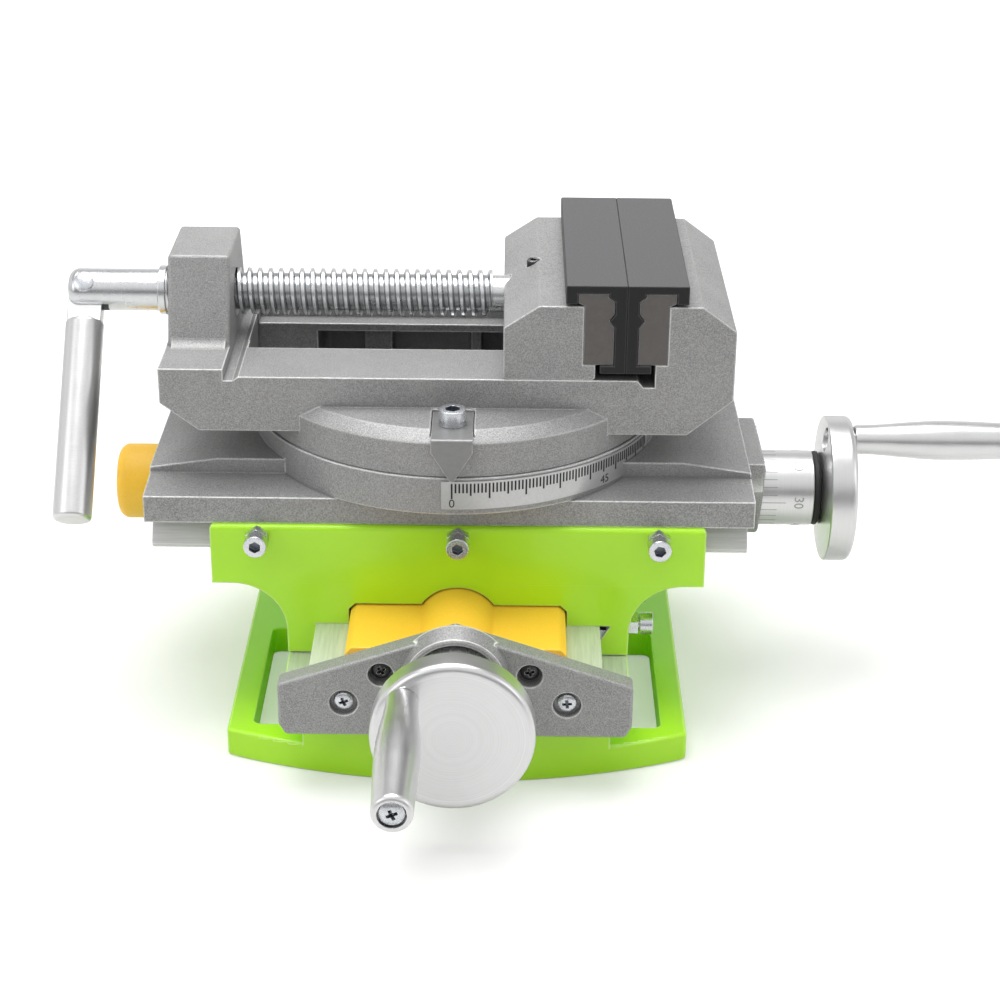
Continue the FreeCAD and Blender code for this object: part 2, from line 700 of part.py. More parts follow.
def make_x_nut():
    x0, x1, y0, y1, z0, z1 = x_nut_box(0)
    return nut_block(x0, x1, y0, y1, z0, z1, X_SCREW_Z, True)


def saddle_section():
    """Front view outline of the saddle above the base ways."""
    band_z = SADDLE_TOP_Z - SADDLE_BAND
    arc_z = band_z - BRACKET_R
    arc_x = LEG_OUT_X + BRACKET_R
    mid = BRACKET_R * math.sqrt(0.5)
    leg_z = WAY_Z + FREE
    under = RAIL_Z + RUN
    drop = (under - leg_z) * TAN_DOVE
    left_in = RAIL_HALF_X + RUN
    right_in = RAIL_HALF_X + GIB_ROOM
    return [(-SADDLE_HALF_X, SADDLE_TOP_Z), (-SADDLE_HALF_X, band_z), (-arc_x, band_z),
            (-arc_x + mid, arc_z + mid, -LEG_OUT_X, arc_z), (-LEG_OUT_X, leg_z), (-left_in + drop, leg_z),
            (-left_in, under), (right_in, under), (right_in - drop, leg_z), (LEG_OUT_X, leg_z),
            (LEG_OUT_X, arc_z), (arc_x - mid, arc_z + mid, arc_x, band_z), (SADDLE_HALF_X, band_z),
            (SADDLE_HALF_X, SADDLE_TOP_Z)]


def x_dovetail_cut():
    """Female dovetail along X; the front flank leaves room for the gib strip."""
    drop = (SADDLE_TOP_Z - X_FLOOR_Z) * TAN_DOVE
    front = X_DOVE_TOP_Y + GIB_ROOM
    back = X_DOVE_TOP_Y + RUN
    top = SADDLE_TOP_Z
    return prism_x([(-front - drop, X_FLOOR_Z), (back + drop, X_FLOOR_Z), (back, top), (back, top + 1),
                    (-front, top + 1), (-front, top)], -SADDLE_HALF_X - 1, SADDLE_HALF_X + 1)


def wing_pockets():
    """Shallow cored pockets under the two wings."""
    band_z = SADDLE_TOP_Z - SADDLE_BAND
    arc_x = LEG_OUT_X + BRACKET_R
    pockets = []
    for side in (-1, 1):
        for end in (-1, 1):
            xs = sorted((side * (LEG_OUT_X + 8), side * (arc_x + 2)))
            ys = sorted((end * (CAP_R + 5), end * (SADDLE_HALF_Y - 9)))
            pocket = box(xs[0], xs[1], ys[0], ys[1], band_z - BRACKET_R, band_z + WING_POCKET_H)
            pockets.append(round_edges(pocket, 3.0, upright))
    return pockets


def make_saddle():
    solid = prism_y(saddle_section(), -SADDLE_HALF_Y, SADDLE_HALF_Y)
    solid = round_edges(solid, SADDLE_EDGE_R,
                        lambda p, q: near(p.z, q.z) and near(p.z, SADDLE_TOP_Z))
    cuts = [x_dovetail_cut(),
            prism_y(cover_profile(COVER_GAP, RAIL_Z - 1), -SADDLE_HALF_Y - 1, TUNNEL_END_Y),
            cyl_y(SCREW_CHANNEL_R, 0, Y_SCREW_Z, 0, SADDLE_HALF_Y + 1),
            cyl_x(SCREW_CHANNEL_R, 0, X_SCREW_Z, -SADDLE_HALF_X - 1, SADDLE_HALF_X + 1),
            cyl_x(CAP_R + 0.7, 0, X_SCREW_Z, -SADDLE_HALF_X - 1, CAP_NOTCH_X),
            box(*y_nut_box(0)), box(*x_nut_box(0)), apron_cut()]
    cuts += wing_pockets()
    for spot in gib_screw_spots():
        cuts.append(cyl_y(M5_R + RUN, spot.x, spot.z, -SADDLE_HALF_Y - 1, -X_DOVE_TOP_Y))
    for spot in side_screw_spots():
        cuts.append(cyl_x(M5_R + RUN, spot.y, spot.z, RAIL_FOOT_X, LEG_OUT_X + BRACKET_R))
        cuts.append(cyl_x(M5_NUT_AF / math.sqrt(3) + FREE, spot.y, spot.z, LEG_OUT_X, LEG_OUT_X + BRACKET_R))
    return solid.cut(cuts).removeSplitter()


def apron_cut():
    """Draft of the front apron below the band."""
    band_z = SADDLE_TOP_Z - SADDLE_BAND
    face = -SADDLE_HALF_Y
    return prism_x([(face - 1, band_z), (face, band_z), (face + APRON_DRAFT, WAY_Z), (face - 1, WAY_Z)],
                   -SADDLE_HALF_X - 1, SADDLE_HALF_X + 1)


def gib_screw_spots():
    z = SADDLE_TOP_Z - GIB_SCREW_DROP
    return [vec(x, -SADDLE_HALF_Y, z) for x in (-GIB_SCREW_X, 0, GIB_SCREW_X)]


def side_screw_spots():
    return [vec(LEG_OUT_X, y, SIDE_SCREW_Z) for y in (-SIDE_SCREW_Y, 0, SIDE_SCREW_Y)]


def gib_outer_at(z):
    """Distance of the front gib's outer face from the slide's centre plane at height z."""
    return X_DOVE_TOP_Y + (SLIDE_BOTTOM_Z - z) * TAN_DOVE + (GIB_T + RUN) / COS_DOVE


def side_gib_outer_at(z):
    return RAIL_HALF_X - (RAIL_Z - z) * TAN_DOVE + (GIB_T + RUN) / COS_DOVE


def make_x_gib():
    z0 = TONGUE_Z + DOVE_LIP
    z1 = SADDLE_TOP_Z - GIB_SHORT * 0.4
    inner = RUN / COS_DOVE
    outer = (GIB_T + RUN) / COS_DOVE
    y0 = X_DOVE_TOP_Y + (SLIDE_BOTTOM_Z - z0) * TAN_DOVE
    y1 = X_DOVE_TOP_Y + (SLIDE_BOTTOM_Z - z1) * TAN_DOVE
    return prism_x([(-y0 - inner, z0), (-y1 - inner, z1), (-y1 - outer, z1), (-y0 - outer, z0)],
                   -SADDLE_HALF_X + GIB_SHORT, SADDLE_HALF_X - GIB_SHORT)


def make_y_gib():
    z0 = WAY_Z + 0.6
    z1 = RAIL_Z - GIB_SHORT
    inner = RUN / COS_DOVE
    outer = (GIB_T + RUN) / COS_DOVE
    x0 = RAIL_HALF_X - (RAIL_Z - z0) * TAN_DOVE
    x1 = RAIL_HALF_X - (RAIL_Z - z1) * TAN_DOVE
    return prism_y([(x0 + inner, z0), (x1 + inner, z1), (x1 + outer, z1), (x0 + outer, z0)],
                   -SADDLE_HALF_Y + GIB_SHORT, SADDLE_HALF_Y - GIB_SHORT)


def make_x_gib_screws():
    screws = []
    for spot in gib_screw_spots():
        tip_y = -gib_outer_at(spot.z - M5_R) - RUN
        seat_y = spot.y - M5_NUT_H - M5_HEAD_GAP
        screws.append(cap_screw(M5_R, M5_HEAD_R, M5_HEAD_H, M5_HEX_AF, M5_HEX_DEEP,
                                vec(spot.x, tip_y, spot.z), vec(0, -1, 0), tip_y - seat_y))
    return Part.makeCompound(screws)


def make_y_gib_screws():
    screws = []
    for spot in side_screw_spots():
        tip_x = side_gib_outer_at(spot.z + M5_R) + RUN
        seat_x = spot.x + M5_NUT_H + M5_HEAD_GAP
        screws.append(cap_screw(M5_R, M5_HEAD_R, M5_HEAD_H, M5_HEX_AF, M5_HEX_DEEP,
                                vec(tip_x, spot.y, spot.z), vec(1, 0, 0), seat_x - tip_x))
    return Part.makeCompound(screws)


def lock_nut(spot, axis, turn):
    nut = hexagon(M5_NUT_AF, spot.x, spot.y, spot.z, axis, M5_NUT_H, turn)
    corner = M5_NUT_AF / math.sqrt(3)
    side = vec(1, 0, 0) if abs(axis.x) < 0.5 else vec(0, 1, 0)
    dome = turned([(0, 0), (0, corner + 0.1), (M5_NUT_H - 0.7, corner + 0.1),
                   (M5_NUT_H, corner - 0.7), (M5_NUT_H, 0)], spot, axis, side)
    bore = Part.makeCylinder(M5_R + RUN, M5_NUT_H + 2, spot - axis, axis)
    return nut.common(dome).cut(bore)


def make_x_gib_locknuts():
    return Part.makeCompound([lock_nut(spot, vec(0, -1, 0), 30) for spot in gib_screw_spots()])


def make_y_gib_locknuts():
    return Part.makeCompound([lock_nut(spot, vec(1, 0, 0), 0) for spot in side_screw_spots()])


def slide_section():
    return [(-SLIDE_HALF_Y, SLIDE_BOTTOM_Z), (-SLIDE_HALF_Y, BAND_TOP_Z), (-LEDGE_Y, LEDGE_BACK_Z),
            (-LEDGE_Y, SLIDE_TOP_Z), (LEDGE_Y, SLIDE_TOP_Z), (LEDGE_Y, LEDGE_BACK_Z),
            (SLIDE_HALF_Y, BAND_TOP_Z), (SLIDE_HALF_Y, SLIDE_BOTTOM_Z)]


def end_slope_cut(x_end, way):
    """Wedge that lowers the slide's top towards one end; way is minus one at the left end."""
    inner = x_end - way * END_SLOPE_L
    return prism_y([(inner, SLIDE_TOP_Z), (x_end + way, SLIDE_TOP_Z - END_SLOPE_H * (1 + 1 / END_SLOPE_L)),
                    (x_end + way, SLIDE_TOP_Z + 1), (inner, SLIDE_TOP_Z + 1)],
                   -SLIDE_HALF_Y - 1, SLIDE_HALF_Y + 1)


def swivel_ring():
    ring = cyl_z(SWIVEL_R, SLIDE_X, 0, BAND_TOP_Z, SWIVEL_TOP_Z)
    neck = GROOVE_W / 2
    foot = GROOVE_T_W / 2
    floor = SWIVEL_TOP_Z - GROOVE_DEEP
    lip = SWIVEL_TOP_Z - GROOVE_LIP
    groove = turned(
        [(floor, GROOVE_R - foot), (floor, GROOVE_R + foot), (lip, GROOVE_R + foot), (lip, GROOVE_R + neck),
         (SWIVEL_TOP_Z + 1, GROOVE_R + neck), (SWIVEL_TOP_Z + 1, GROOVE_R - neck), (lip, GROOVE_R - neck),
         (lip, GROOVE_R - foot)], vec(SLIDE_X, 0, 0), vec(0, 0, 1), vec(1, 0, 0))
    relief = cyl_z(SWIVEL_RELIEF_R, SLIDE_X, 0, SWIVEL_TOP_Z - SWIVEL_RELIEF, SWIVEL_TOP_Z + 1)
    return ring, [groove, relief, cyl_z(PIVOT_R, SLIDE_X, 0, SWIVEL_TOP_Z - SWIVEL_RELIEF - PIVOT_DEEP,
                                        SWIVEL_TOP_Z + 1)]


def make_x_slide():
    body = prism_x(slide_section(), SLIDE_X0, SLIDE_X1)
    body = body.cut([end_slope_cut(SLIDE_X0, -1), end_slope_cut(SLIDE_X1, 1)])
    foot = TONGUE_FOOT_Y
    tongue = prism_x(
        [(-foot, TONGUE_Z), (-foot, TONGUE_Z + DOVE_LIP), (-X_DOVE_TOP_Y, SLIDE_BOTTOM_Z),
         (-X_DOVE_TOP_Y, SLIDE_BOTTOM_Z + 1), (X_DOVE_TOP_Y, SLIDE_BOTTOM_Z + 1), (X_DOVE_TOP_Y, SLIDE_BOTTOM_Z),
         (foot, TONGUE_Z + DOVE_LIP), (foot, TONGUE_Z)], SLIDE_X0 + TONGUE_SET_BACK, SLIDE_X1 - TONGUE_SET_BACK)
    ring, ring_cuts = swivel_ring()
    channel = cyl_x(SLIDE_CHANNEL_R, 0, X_SCREW_Z, SLIDE_X0 - 1, SLIDE_X1 + 1)
    cuts = ring_cuts + [channel]
    for side in (-1, 1):
        cuts.append(cyl_x(PAN_SHANK_R, side * BRACKET_SCREW_Y, BRACKET_SCREW_Z, BRACKET_X1 - PAN_LONG, SLIDE_X1 + 1))
    return body.fuse([tongue, ring]).cut(cuts).removeSplitter()


def make_x_end_bracket():
    """Bearing plate on the slide's right end: a low roofed block that narrows to a lobe round the screw."""
    z = X_SCREW_Z
    tip = BRACKET_LOBE_R * math.sqrt(0.5)
    solid = prism_x(
        [(-BRACKET_HALF_Y, z + BRACKET_CUT_UP), (-BRACKET_HALF_Y, z + BRACKET_SIDE_UP), (0, z + BRACKET_PEAK_UP),
         (BRACKET_HALF_Y, z + BRACKET_SIDE_UP), (BRACKET_HALF_Y, z + BRACKET_CUT_UP), (tip, z - tip),
         (0, z - BRACKET_LOBE_R, -tip, z - tip)], SLIDE_X1, BRACKET_X1)
    solid = round_edges(solid, BRACKET_EDGE_R,
                        lambda p, q: near(p.x, BRACKET_X1) and near(q.x, BRACKET_X1))
    cuts = [cyl_x(JOURNAL_R + RUN, 0, z, SLIDE_X1 - 1, BRACKET_X1 + 1),
            cyl_x(BOSS_RECESS_R, 0, z, X_RECESS_X, BRACKET_X1 + 1)]
    for side in (-1, 1):
        cuts.append(cyl_x(PAN_SHANK_R + RUN, side * BRACKET_SCREW_Y, BRACKET_SCREW_Z, SLIDE_X1 - 1, BRACKET_X1 + 1))
    return solid.cut(cuts)


def make_x_bracket_screws():
    screws = []
    for side in (-1, 1):
        seat = vec(BRACKET_X1, side * BRACKET_SCREW_Y, BRACKET_SCREW_Z)
        screws.append(pan_screw(seat, vec(1, 0, 0), PAN_LONG))
    return Part.makeCompound(screws)


def make_x_end_cap():
    """Moulded cup that closes the screw channel at the slide's left end."""
    inner = CAP_R - CAP_WALL
    r = CAP_ROUND
    arc = r * math.sqrt(0.5)
    cup = turned(
        [(0, inner), (0, CAP_R), (CAP_LONG - r, CAP_R), (CAP_LONG - r + arc, CAP_R - r + arc, CAP_LONG, CAP_R - r),
         (CAP_LONG, 0), (CAP_LONG - CAP_WALL, 0), (CAP_LONG - CAP_WALL, inner)],
        vec(SLIDE_X0, 0, X_SCREW_Z), vec(-1, 0, 0), vec(0, 1, 0))
    plug_out = SLIDE_CHANNEL_R - RUN
    plug = cyl_x(plug_out, 0, X_SCREW_Z, SLIDE_X0, SLIDE_X0 + 8)
    plug = plug.cut(cyl_x(inner, 0, X_SCREW_Z, SLIDE_X0 - 1, SLIDE_X0 + 9))
    plug = plug.common(box(SLIDE_X0, SLIDE_X0 + 8, -CAP_R, CAP_R, TONGUE_Z, SLIDE_TOP_Z))
    return cup.fuse(plug)


def scale_sector(from_deg, to_deg, z0, z1):
    inner = SWIVEL_R + SCALE_GLUE
    blank = cyl_z(SWIVEL_R + SCALE_T, SLIDE_X, 0, z0, z1).cut(cyl_z(inner, SLIDE_X, 0, z0 - 1, z1 + 1))
    far = SWIVEL_R * 3
    rim = []
    for deg in (from_deg, (from_deg + to_deg) / 2, to_deg):
        a = math.radians(deg)
        rim.append((SLIDE_X + far * math.sin(a), -far * math.cos(a)))
    wedge = prism_z([(SLIDE_X, 0), rim[0], rim[1], rim[2]], z0 - 1, z1 + 1)
    return blank.common(wedge)


def make_degree_scale():
    top = SWIVEL_TOP_Z - SCALE_TOP_GAP
    wide = scale_sector(SCALE_FROM_DEG, SCALE_WIDE_DEG, SCALE_BOTTOM_Z, top)
    narrow = scale_sector(SCALE_WIDE_DEG, SCALE_TO_DEG, SLIDE_TOP_Z + 0.3, top)
    return wide.fuse(narrow).removeSplitter()


def make_swivel_pivot():
    z0 = SWIVEL_TOP_Z - SWIVEL_RELIEF - PIVOT_DEEP
    z1 = DISC_BOTTOM_Z + PIVOT_UP
    edge = 0.8
    return turned([(z0, 0), (z0, PIVOT_R), (z1 - edge, PIVOT_R), (z1, PIVOT_R - edge), (z1, 0)],
                  vec(SLIDE_X, 0, 0), vec(0, 0, 1), vec(1, 0, 0))


def body_section():
    """Front view outline of the vise body: bed, step, groove and fixed jaw."""
    back = SEAM_X + WEB_THICK + JAW_PLATE_T + PLATE_GAP
    heel = 2 * SEAM_X - JAW_TOE_X
    groove = STEP_RIGHT_X + GROOVE_FLAT
    right_groove = heel - 4.2
    return [(LEFT_FOOT_X, BED_UNDER_Z), (RIGHT_FOOT_X, BED_UNDER_Z), (VISE_RIGHT_X, RIGHT_FOOT_Z),
            (VISE_RIGHT_X, FIXED_SIDE_Z), (FIXED_TOP_X, JAW_TOP_Z), (back, JAW_TOP_Z),
            (back, JAW_PLATE_FOOT_Z - PLATE_GAP), (heel, JAW_PLATE_FOOT_Z - PLATE_GAP),
            (heel, BED_TOP_Z - RIGHT_GROOVE_FLOOR), (right_groove, BED_TOP_Z - RIGHT_GROOVE_FLOOR),
            (right_groove - GROOVE_RAMP, BED_TOP_Z), (groove + GROOVE_RAMP, BED_TOP_Z),
            (groove, BED_TOP_Z - GROOVE_FLOOR), (STEP_RIGHT_X, BED_TOP_Z - GROOVE_FLOOR),
            (STEP_RIGHT_X, STEP_Z), (VISE_LEFT_X, STEP_Z), (VISE_LEFT_X, LEFT_FOOT_Z)]


def vise_disc():
    """Swivel disc under the bed, with its bevelled crescents front and back."""
    return turned(
        [(DISC_BOTTOM_Z, 0), (DISC_BOTTOM_Z, DISC_R), (DISC_WALL_Z, DISC_R), (DISC_TOP_Z, DISC_R - DISC_CHAMFER),
         (DISC_TOP_Z, 0)], vec(SLIDE_X, 0, 0), vec(0, 0, 1), vec(1, 0, 0))


def post_solid():
    lean = (POST_FOOT_HALF_Y - POST_TOP_HALF_Y) / (POST_TOP_Z - STEP_Z)
    foot_z = STEP_Z - 3
    foot_y = POST_FOOT_HALF_Y + lean * 3
    solid = prism_x([(-foot_y, foot_z), (foot_y, foot_z), (POST_TOP_HALF_Y, POST_TOP_Z),
                     (-POST_TOP_HALF_Y, POST_TOP_Z)], POST_LEFT_X, POST_RIGHT_X)
    return round_edges(solid, POST_EDGE_R, lambda p, q: not (near(p.z, foot_z) and near(q.z, foot_z)))


def post_foot_fillet(way):
    """Cast fillet where the post's front or back face meets the step."""
    lean = (POST_FOOT_HALF_Y - POST_TOP_HALF_Y) / (POST_TOP_Z - STEP_Z)
    r = POST_FOOT_R
    y0 = way * POST_FOOT_HALF_Y
    bow = r * (1 - math.sqrt(0.5))
    return prism_x([(y0 - way * 2, STEP_Z - 1), (y0 + way * r, STEP_Z - 1), (y0 + way * r, STEP_Z),
                    (y0 + way * bow, STEP_Z + bow, y0 - way * lean * r, STEP_Z + r),
                    (y0 - way * 2, STEP_Z + r)], POST_LEFT_X + POST_EDGE_R, POST_RIGHT_X - POST_EDGE_R)


def body_cavities():
    """Machined guide channel, the slot through it and the cored hollow under the ledges."""
    channel = box(STEP_RIGHT_X + 6, 2 * SEAM_X - JAW_TOE_X, -CHANNEL_HALF_Y, CHANNEL_HALF_Y,
                  CHANNEL_Z, BED_TOP_Z + 1)
    slot = box(BED_SLOT_LEFT_X, CAVITY_RIGHT_X, -BED_SLOT_HALF_Y, BED_SLOT_HALF_Y,
               CAVITY_FLOOR_Z + 6, BED_TOP_Z + 1)
    cavity = box(CAVITY_LEFT_X, CAVITY_RIGHT_X, -CAVITY_HALF_Y, CAVITY_HALF_Y, CAVITY_FLOOR_Z, LEDGE_UNDER_Z)
    cavity = round_edges(cavity, 4.0, upright)
    webs = []
    for x, t in zip(WEB_X, WEB_T):
        for side in (-1, 1):
            ys = sorted((side * (KEEPER_HALF_Y + 3), side * (CAVITY_HALF_Y + 1)))
            webs.append(box(x - t / 2, x + t / 2, ys[0], ys[1], CAVITY_FLOOR_Z, LEDGE_UNDER_Z))
    return [channel, slot, cavity.cut(webs)]


def clamp_spots():
    """Centres of the two swivel clamp screws on top of the front and back crescents."""
    return [vec(SLIDE_X, side * GROOVE_R, DISC_TOP_Z - POINTER_SEAT) for side in (-1, 1)]


def make_vise_body():
    back = VISE_HALF_Y
    bed = prism_y(body_section(), -back, back)
    bed = round_edges(bed, 1.2, lambda p, q: near(p.x, q.x) and near(p.z, q.z) and p.x > FIXED_TOP_X - 1)
    solid = bed.fuse([vise_disc(), post_solid(), post_foot_fillet(-1), post_foot_fillet(1)])
    cuts = body_cavities()
    cuts.append(cyl_x(VISE_SCREW_R + RUN, 0, VISE_SCREW_Z, VISE_LEFT_X - 1, POST_RIGHT_X + 1))
    cuts.append(cyl_z(PIVOT_R + RUN, SLIDE_X, 0, DISC_BOTTOM_Z - 1, CAVITY_FLOOR_Z + 1))
    seat_z = DISC_TOP_Z - POINTER_SEAT
    for spot in clamp_spots():
        way = 1 if spot.y > 0 else -1
        cuts.append(cyl_z(M6_R + 0.3, spot.x, spot.y, DISC_BOTTOM_Z - 1, DISC_TOP_Z + 1))
        ys = sorted((way * (VISE_HALF_Y + 0.8), way * (DISC_R + 2)))
        cuts.append(box(spot.x - POINTER_HALF_X - 0.3, spot.x + POINTER_HALF_X + 0.3, ys[0], ys[1],
                        seat_z, DISC_TOP_Z + 1))
    for y in (-PLATE_SCREW_Y, PLATE_SCREW_Y):
        x0 = SEAM_X + WEB_THICK + JAW_PLATE_T
        cuts.append(cyl_x(M5_R, y, PLATE_SCREW_Z, x0, x0 + PLATE_SCREW_HOLE))
    return solid.cut(cuts).removeSplitter()


def make_pointer():
    """Bent sheet pointer: flat under the clamp screw, then a blade down to the scale."""
    seat_z = DISC_TOP_Z - POINTER_SEAT
    y_in = -(VISE_HALF_Y + 1.2)
    y_out = -(SWIVEL_R + SCALE_T + FREE)
    z1 = seat_z + POINTER_T
    flat = box(SLIDE_X - POINTER_HALF_X, SLIDE_X + POINTER_HALF_X, y_out, y_in, seat_z, z1)
    flat = flat.cut(cyl_z(M6_R + 0.2, SLIDE_X, -GROOVE_R, seat_z - 1, z1 + 1))
    tip_z = SWIVEL_TOP_Z - SCALE_TOP_GAP + 0.6
    blade = prism_y(
        [(SLIDE_X - POINTER_HALF_X, z1), (SLIDE_X - POINTER_HALF_X, seat_z - 3.5), (SLIDE_X - 0.7, tip_z),
         (SLIDE_X + 0.7, tip_z), (SLIDE_X + POINTER_HALF_X, seat_z - 3.5), (SLIDE_X + POINTER_HALF_X, z1)],
        y_out - POINTER_T, y_out)
    solid = flat.fuse(blade).removeSplitter()
    return round_edges(solid, POINTER_T * 0.8, lambda p, q: near(p.y, y_out - POINTER_T)
                       and near(q.y, y_out - POINTER_T) and near(p.z, z1) and near(q.z, z1))


def make_swivel_screws():
    screws = []
    for spot in clamp_spots():
        tip_z = SWIVEL_TOP_Z - GROOVE_DEEP + 1.0
        seat = spot.z + (POINTER_T if spot.y < 0 else WASHER_T)
        screws.append(cap_screw(M6_R, M6_HEAD_R, M6_HEAD_H, M6_HEX_AF, M6_HEX_DEEP,
                                vec(spot.x, spot.y, tip_z), vec(0, 0, 1), seat - tip_z))
    return Part.makeCompound(screws)


def make_rear_washer():
    spot = clamp_spots()[1]
    return cyl_z(WASHER_R, spot.x, spot.y, spot.z, spot.z + WASHER_T).cut(
        cyl_z(M6_R + 0.3, spot.x, spot.y, spot.z - 1, spot.z + WASHER_T + 1))


def make_swivel_t_nuts():
    nuts = []
    for spot in clamp_spots():
        z0 = SWIVEL_TOP_Z - GROOVE_DEEP + FREE
        z1 = SWIVEL_TOP_Z - GROOVE_LIP - FREE
        foot = GROOVE_T_W / 2 - FREE
        arc = cyl_z(GROOVE_R + foot, SLIDE_X, 0, z0, z1).cut(cyl_z(GROOVE_R - foot, SLIDE_X, 0, z0 - 1, z1 + 1))
        keep = box(spot.x - T_NUT_LONG / 2, spot.x + T_NUT_LONG / 2, spot.y - 12, spot.y + 12, z0, z1)
        nuts.append(arc.common(keep).cut(cyl_z(M6_R + RUN, spot.x, spot.y, z0 - 1, z1 + 1)))
    return Part.makeCompound(nuts)


def flip_x(solid, right):
    """The left hand jaw parts are drawn; the right hand ones mirror them about the seam."""
    if right:
        return solid.mirror(vec(SEAM_X, 0, 0), vec(1, 0, 0))
    return solid


def plate_section(grow):
    """Left jaw plate: stepped top, small vee groove; grow moves its working side outwards."""
    face = SEAM_X - WEB_THICK
    back = face - JAW_PLATE_T
    step = face - JAW_PLATE_STEP
    lip = back - JAW_PLATE_LIP
    lip_z = JAW_TOP_Z + CLIP_GAP
    return [(back, JAW_PLATE_FOOT_Z - grow), (face + grow, JAW_PLATE_FOOT_Z - grow), (face + grow, VEE_Z - VEE_HALF),
            (face - VEE_DEEP + grow, VEE_Z), (face + grow, VEE_Z + VEE_HALF), (face + grow, JAW_PLATE_STEP_Z + grow / 2),
            (step + grow, JAW_PLATE_STEP_Z + JAW_STEP_BEVEL + grow), (step + grow, JAW_PLATE_TOP_Z + grow),
            (lip - grow, JAW_PLATE_TOP_Z + grow), (lip - grow, lip_z + 1.2), (back, lip_z)]


def make_jaw_plate(right):
    half = VISE_HALF_Y
    solid = prism_y(plate_section(0), -half, half)
    face = SEAM_X - WEB_THICK
    cuts = []
    for y in (-PLATE_SCREW_Y, PLATE_SCREW_Y):
        cuts.append(cyl_x(M5_R + RUN, y, PLATE_SCREW_Z, face - JAW_PLATE_T - 1, face + 1))
        cuts.append(cyl_x(M5_HEAD_R + FREE, y, PLATE_SCREW_Z, face - M5_HEAD_H - PLATE_HEAD_SINK, face + 1))
    return flip_x(solid.cut(cuts), right)


def make_plate_screws(right):
    face = SEAM_X - WEB_THICK
    screws = []
    for y in (-PLATE_SCREW_Y, PLATE_SCREW_Y):
        seat = face - M5_HEAD_H - PLATE_HEAD_SINK
        screws.append(cap_screw(M5_R, M5_HEAD_R, M5_HEAD_H, M5_HEX_AF, M5_HEX_DEEP,
                                vec(seat - PLATE_SCREW_LONG, y, PLATE_SCREW_Z), vec(1, 0, 0), PLATE_SCREW_LONG))
    return flip_x(Part.makeCompound(screws), right)


def make_jaw_cover(right):
    """Clip-on cover: flat roof over the plate, hooked lip, working web and a foot below."""
    face = SEAM_X - WEB_THICK
    lip = face - JAW_PLATE_T - JAW_PLATE_LIP - CLIP_GAP
    outer = lip - CLIP_LIP
    roof = JAW_PLATE_TOP_Z + CLIP_GAP + CLIP_TOP
    foot_z = JAW_PLATE_FOOT_Z - CLIP_GAP - CLIP_FOOT_H
    half = VISE_HALF_Y + CLIP_OVER_Y
    blank = prism_y(
        [(face - CLIP_FOOT, foot_z), (SEAM_X, foot_z), (SEAM_X, roof), (outer, roof), (outer, CLIP_LIP_Z),
         (lip, CLIP_LIP_Z), (lip, CLIP_ROOF_Z), (face - CLIP_FOOT, CLIP_ROOF_Z)], -half, half)
    inner = prism_y(plate_section(CLIP_GAP), -half - 1, half + 1)
    spare = box(outer - 1, face - CLIP_WALL, -half - 1, half + 1,
                JAW_PLATE_FOOT_Z - CLIP_GAP, CLIP_ROOF_Z + 0.01)
    keep_lip = box(outer - 1, lip, -half - 2, half + 2, CLIP_LIP_Z, roof)
    solid = blank.cut([inner, spare.cut(keep_lip)])
    solid = round_edges(solid, 0.8, lambda p, q: near(p.x, q.x) and near(p.z, q.z)
                        and near(p.z, roof) and near(p.x, outer))
    return flip_x(solid, right)


def make_movable_jaw():
    back = SEAM_X - WEB_THICK - JAW_PLATE_T - PLATE_GAP
    foot = BED_TOP_Z + RUN
    ledge = JAW_PLATE_FOOT_Z - PLATE_GAP
    body = prism_y(
        [(JAW_LEFT_X, foot), (JAW_TOE_X, foot), (JAW_TOE_X, ledge), (back, ledge), (back, JAW_TOP_Z),
         (JAW_CHAMFER_X, JAW_TOP_Z), (JAW_LEFT_X, JAW_CHAMFER_Z)], -VISE_HALF_Y, VISE_HALF_Y)
    body = round_edges(body, JAW_EDGE_R, lambda p, q: near(p.x, q.x) and near(p.z, q.z) and p.x < JAW_CHAMFER_X + 1
                       or near(p.z, foot) and near(q.z, foot) and near(p.x, JAW_TOE_X) and near(q.x, JAW_TOE_X))
    tongue = box(JAW_LEFT_X + 1, JAW_TOE_X - 1, -CHANNEL_HALF_Y + TONGUE_GAP, CHANNEL_HALF_Y - TONGUE_GAP,
                 CHANNEL_Z + FREE, foot + 1)
    stem = box(JAW_LEFT_X + 3, JAW_TOE_X - 3, -BED_SLOT_HALF_Y + FREE, BED_SLOT_HALF_Y - FREE,
               LEDGE_UNDER_Z - KEEPER_GAP, foot + 1)
    solid = body.fuse([tongue, stem])
    cuts = [cyl_x(VISE_NECK_R + 0.1, 0, VISE_SCREW_Z, JAW_LEFT_X - 1, JAW_LEFT_X + NECK_DEEP + 1),
            cyl_z(GRUB_R + RUN, GRUB_X, 0, VISE_SCREW_Z, JAW_TOP_Z + 1)]
    for x in keeper_screw_xs():
        cuts.append(cyl_z(KEEPER_SCREW_R, x, 0, LEDGE_UNDER_Z - 2, CHANNEL_Z + 6))
    for y in (-PLATE_SCREW_Y, PLATE_SCREW_Y):
        cuts.append(cyl_x(M5_R, y, PLATE_SCREW_Z, back - PLATE_SCREW_HOLE, back + 1))
    return solid.cut(cuts).removeSplitter()


def keeper_screw_xs():
    return (JAW_LEFT_X + 9, JAW_TOE_X - 9)


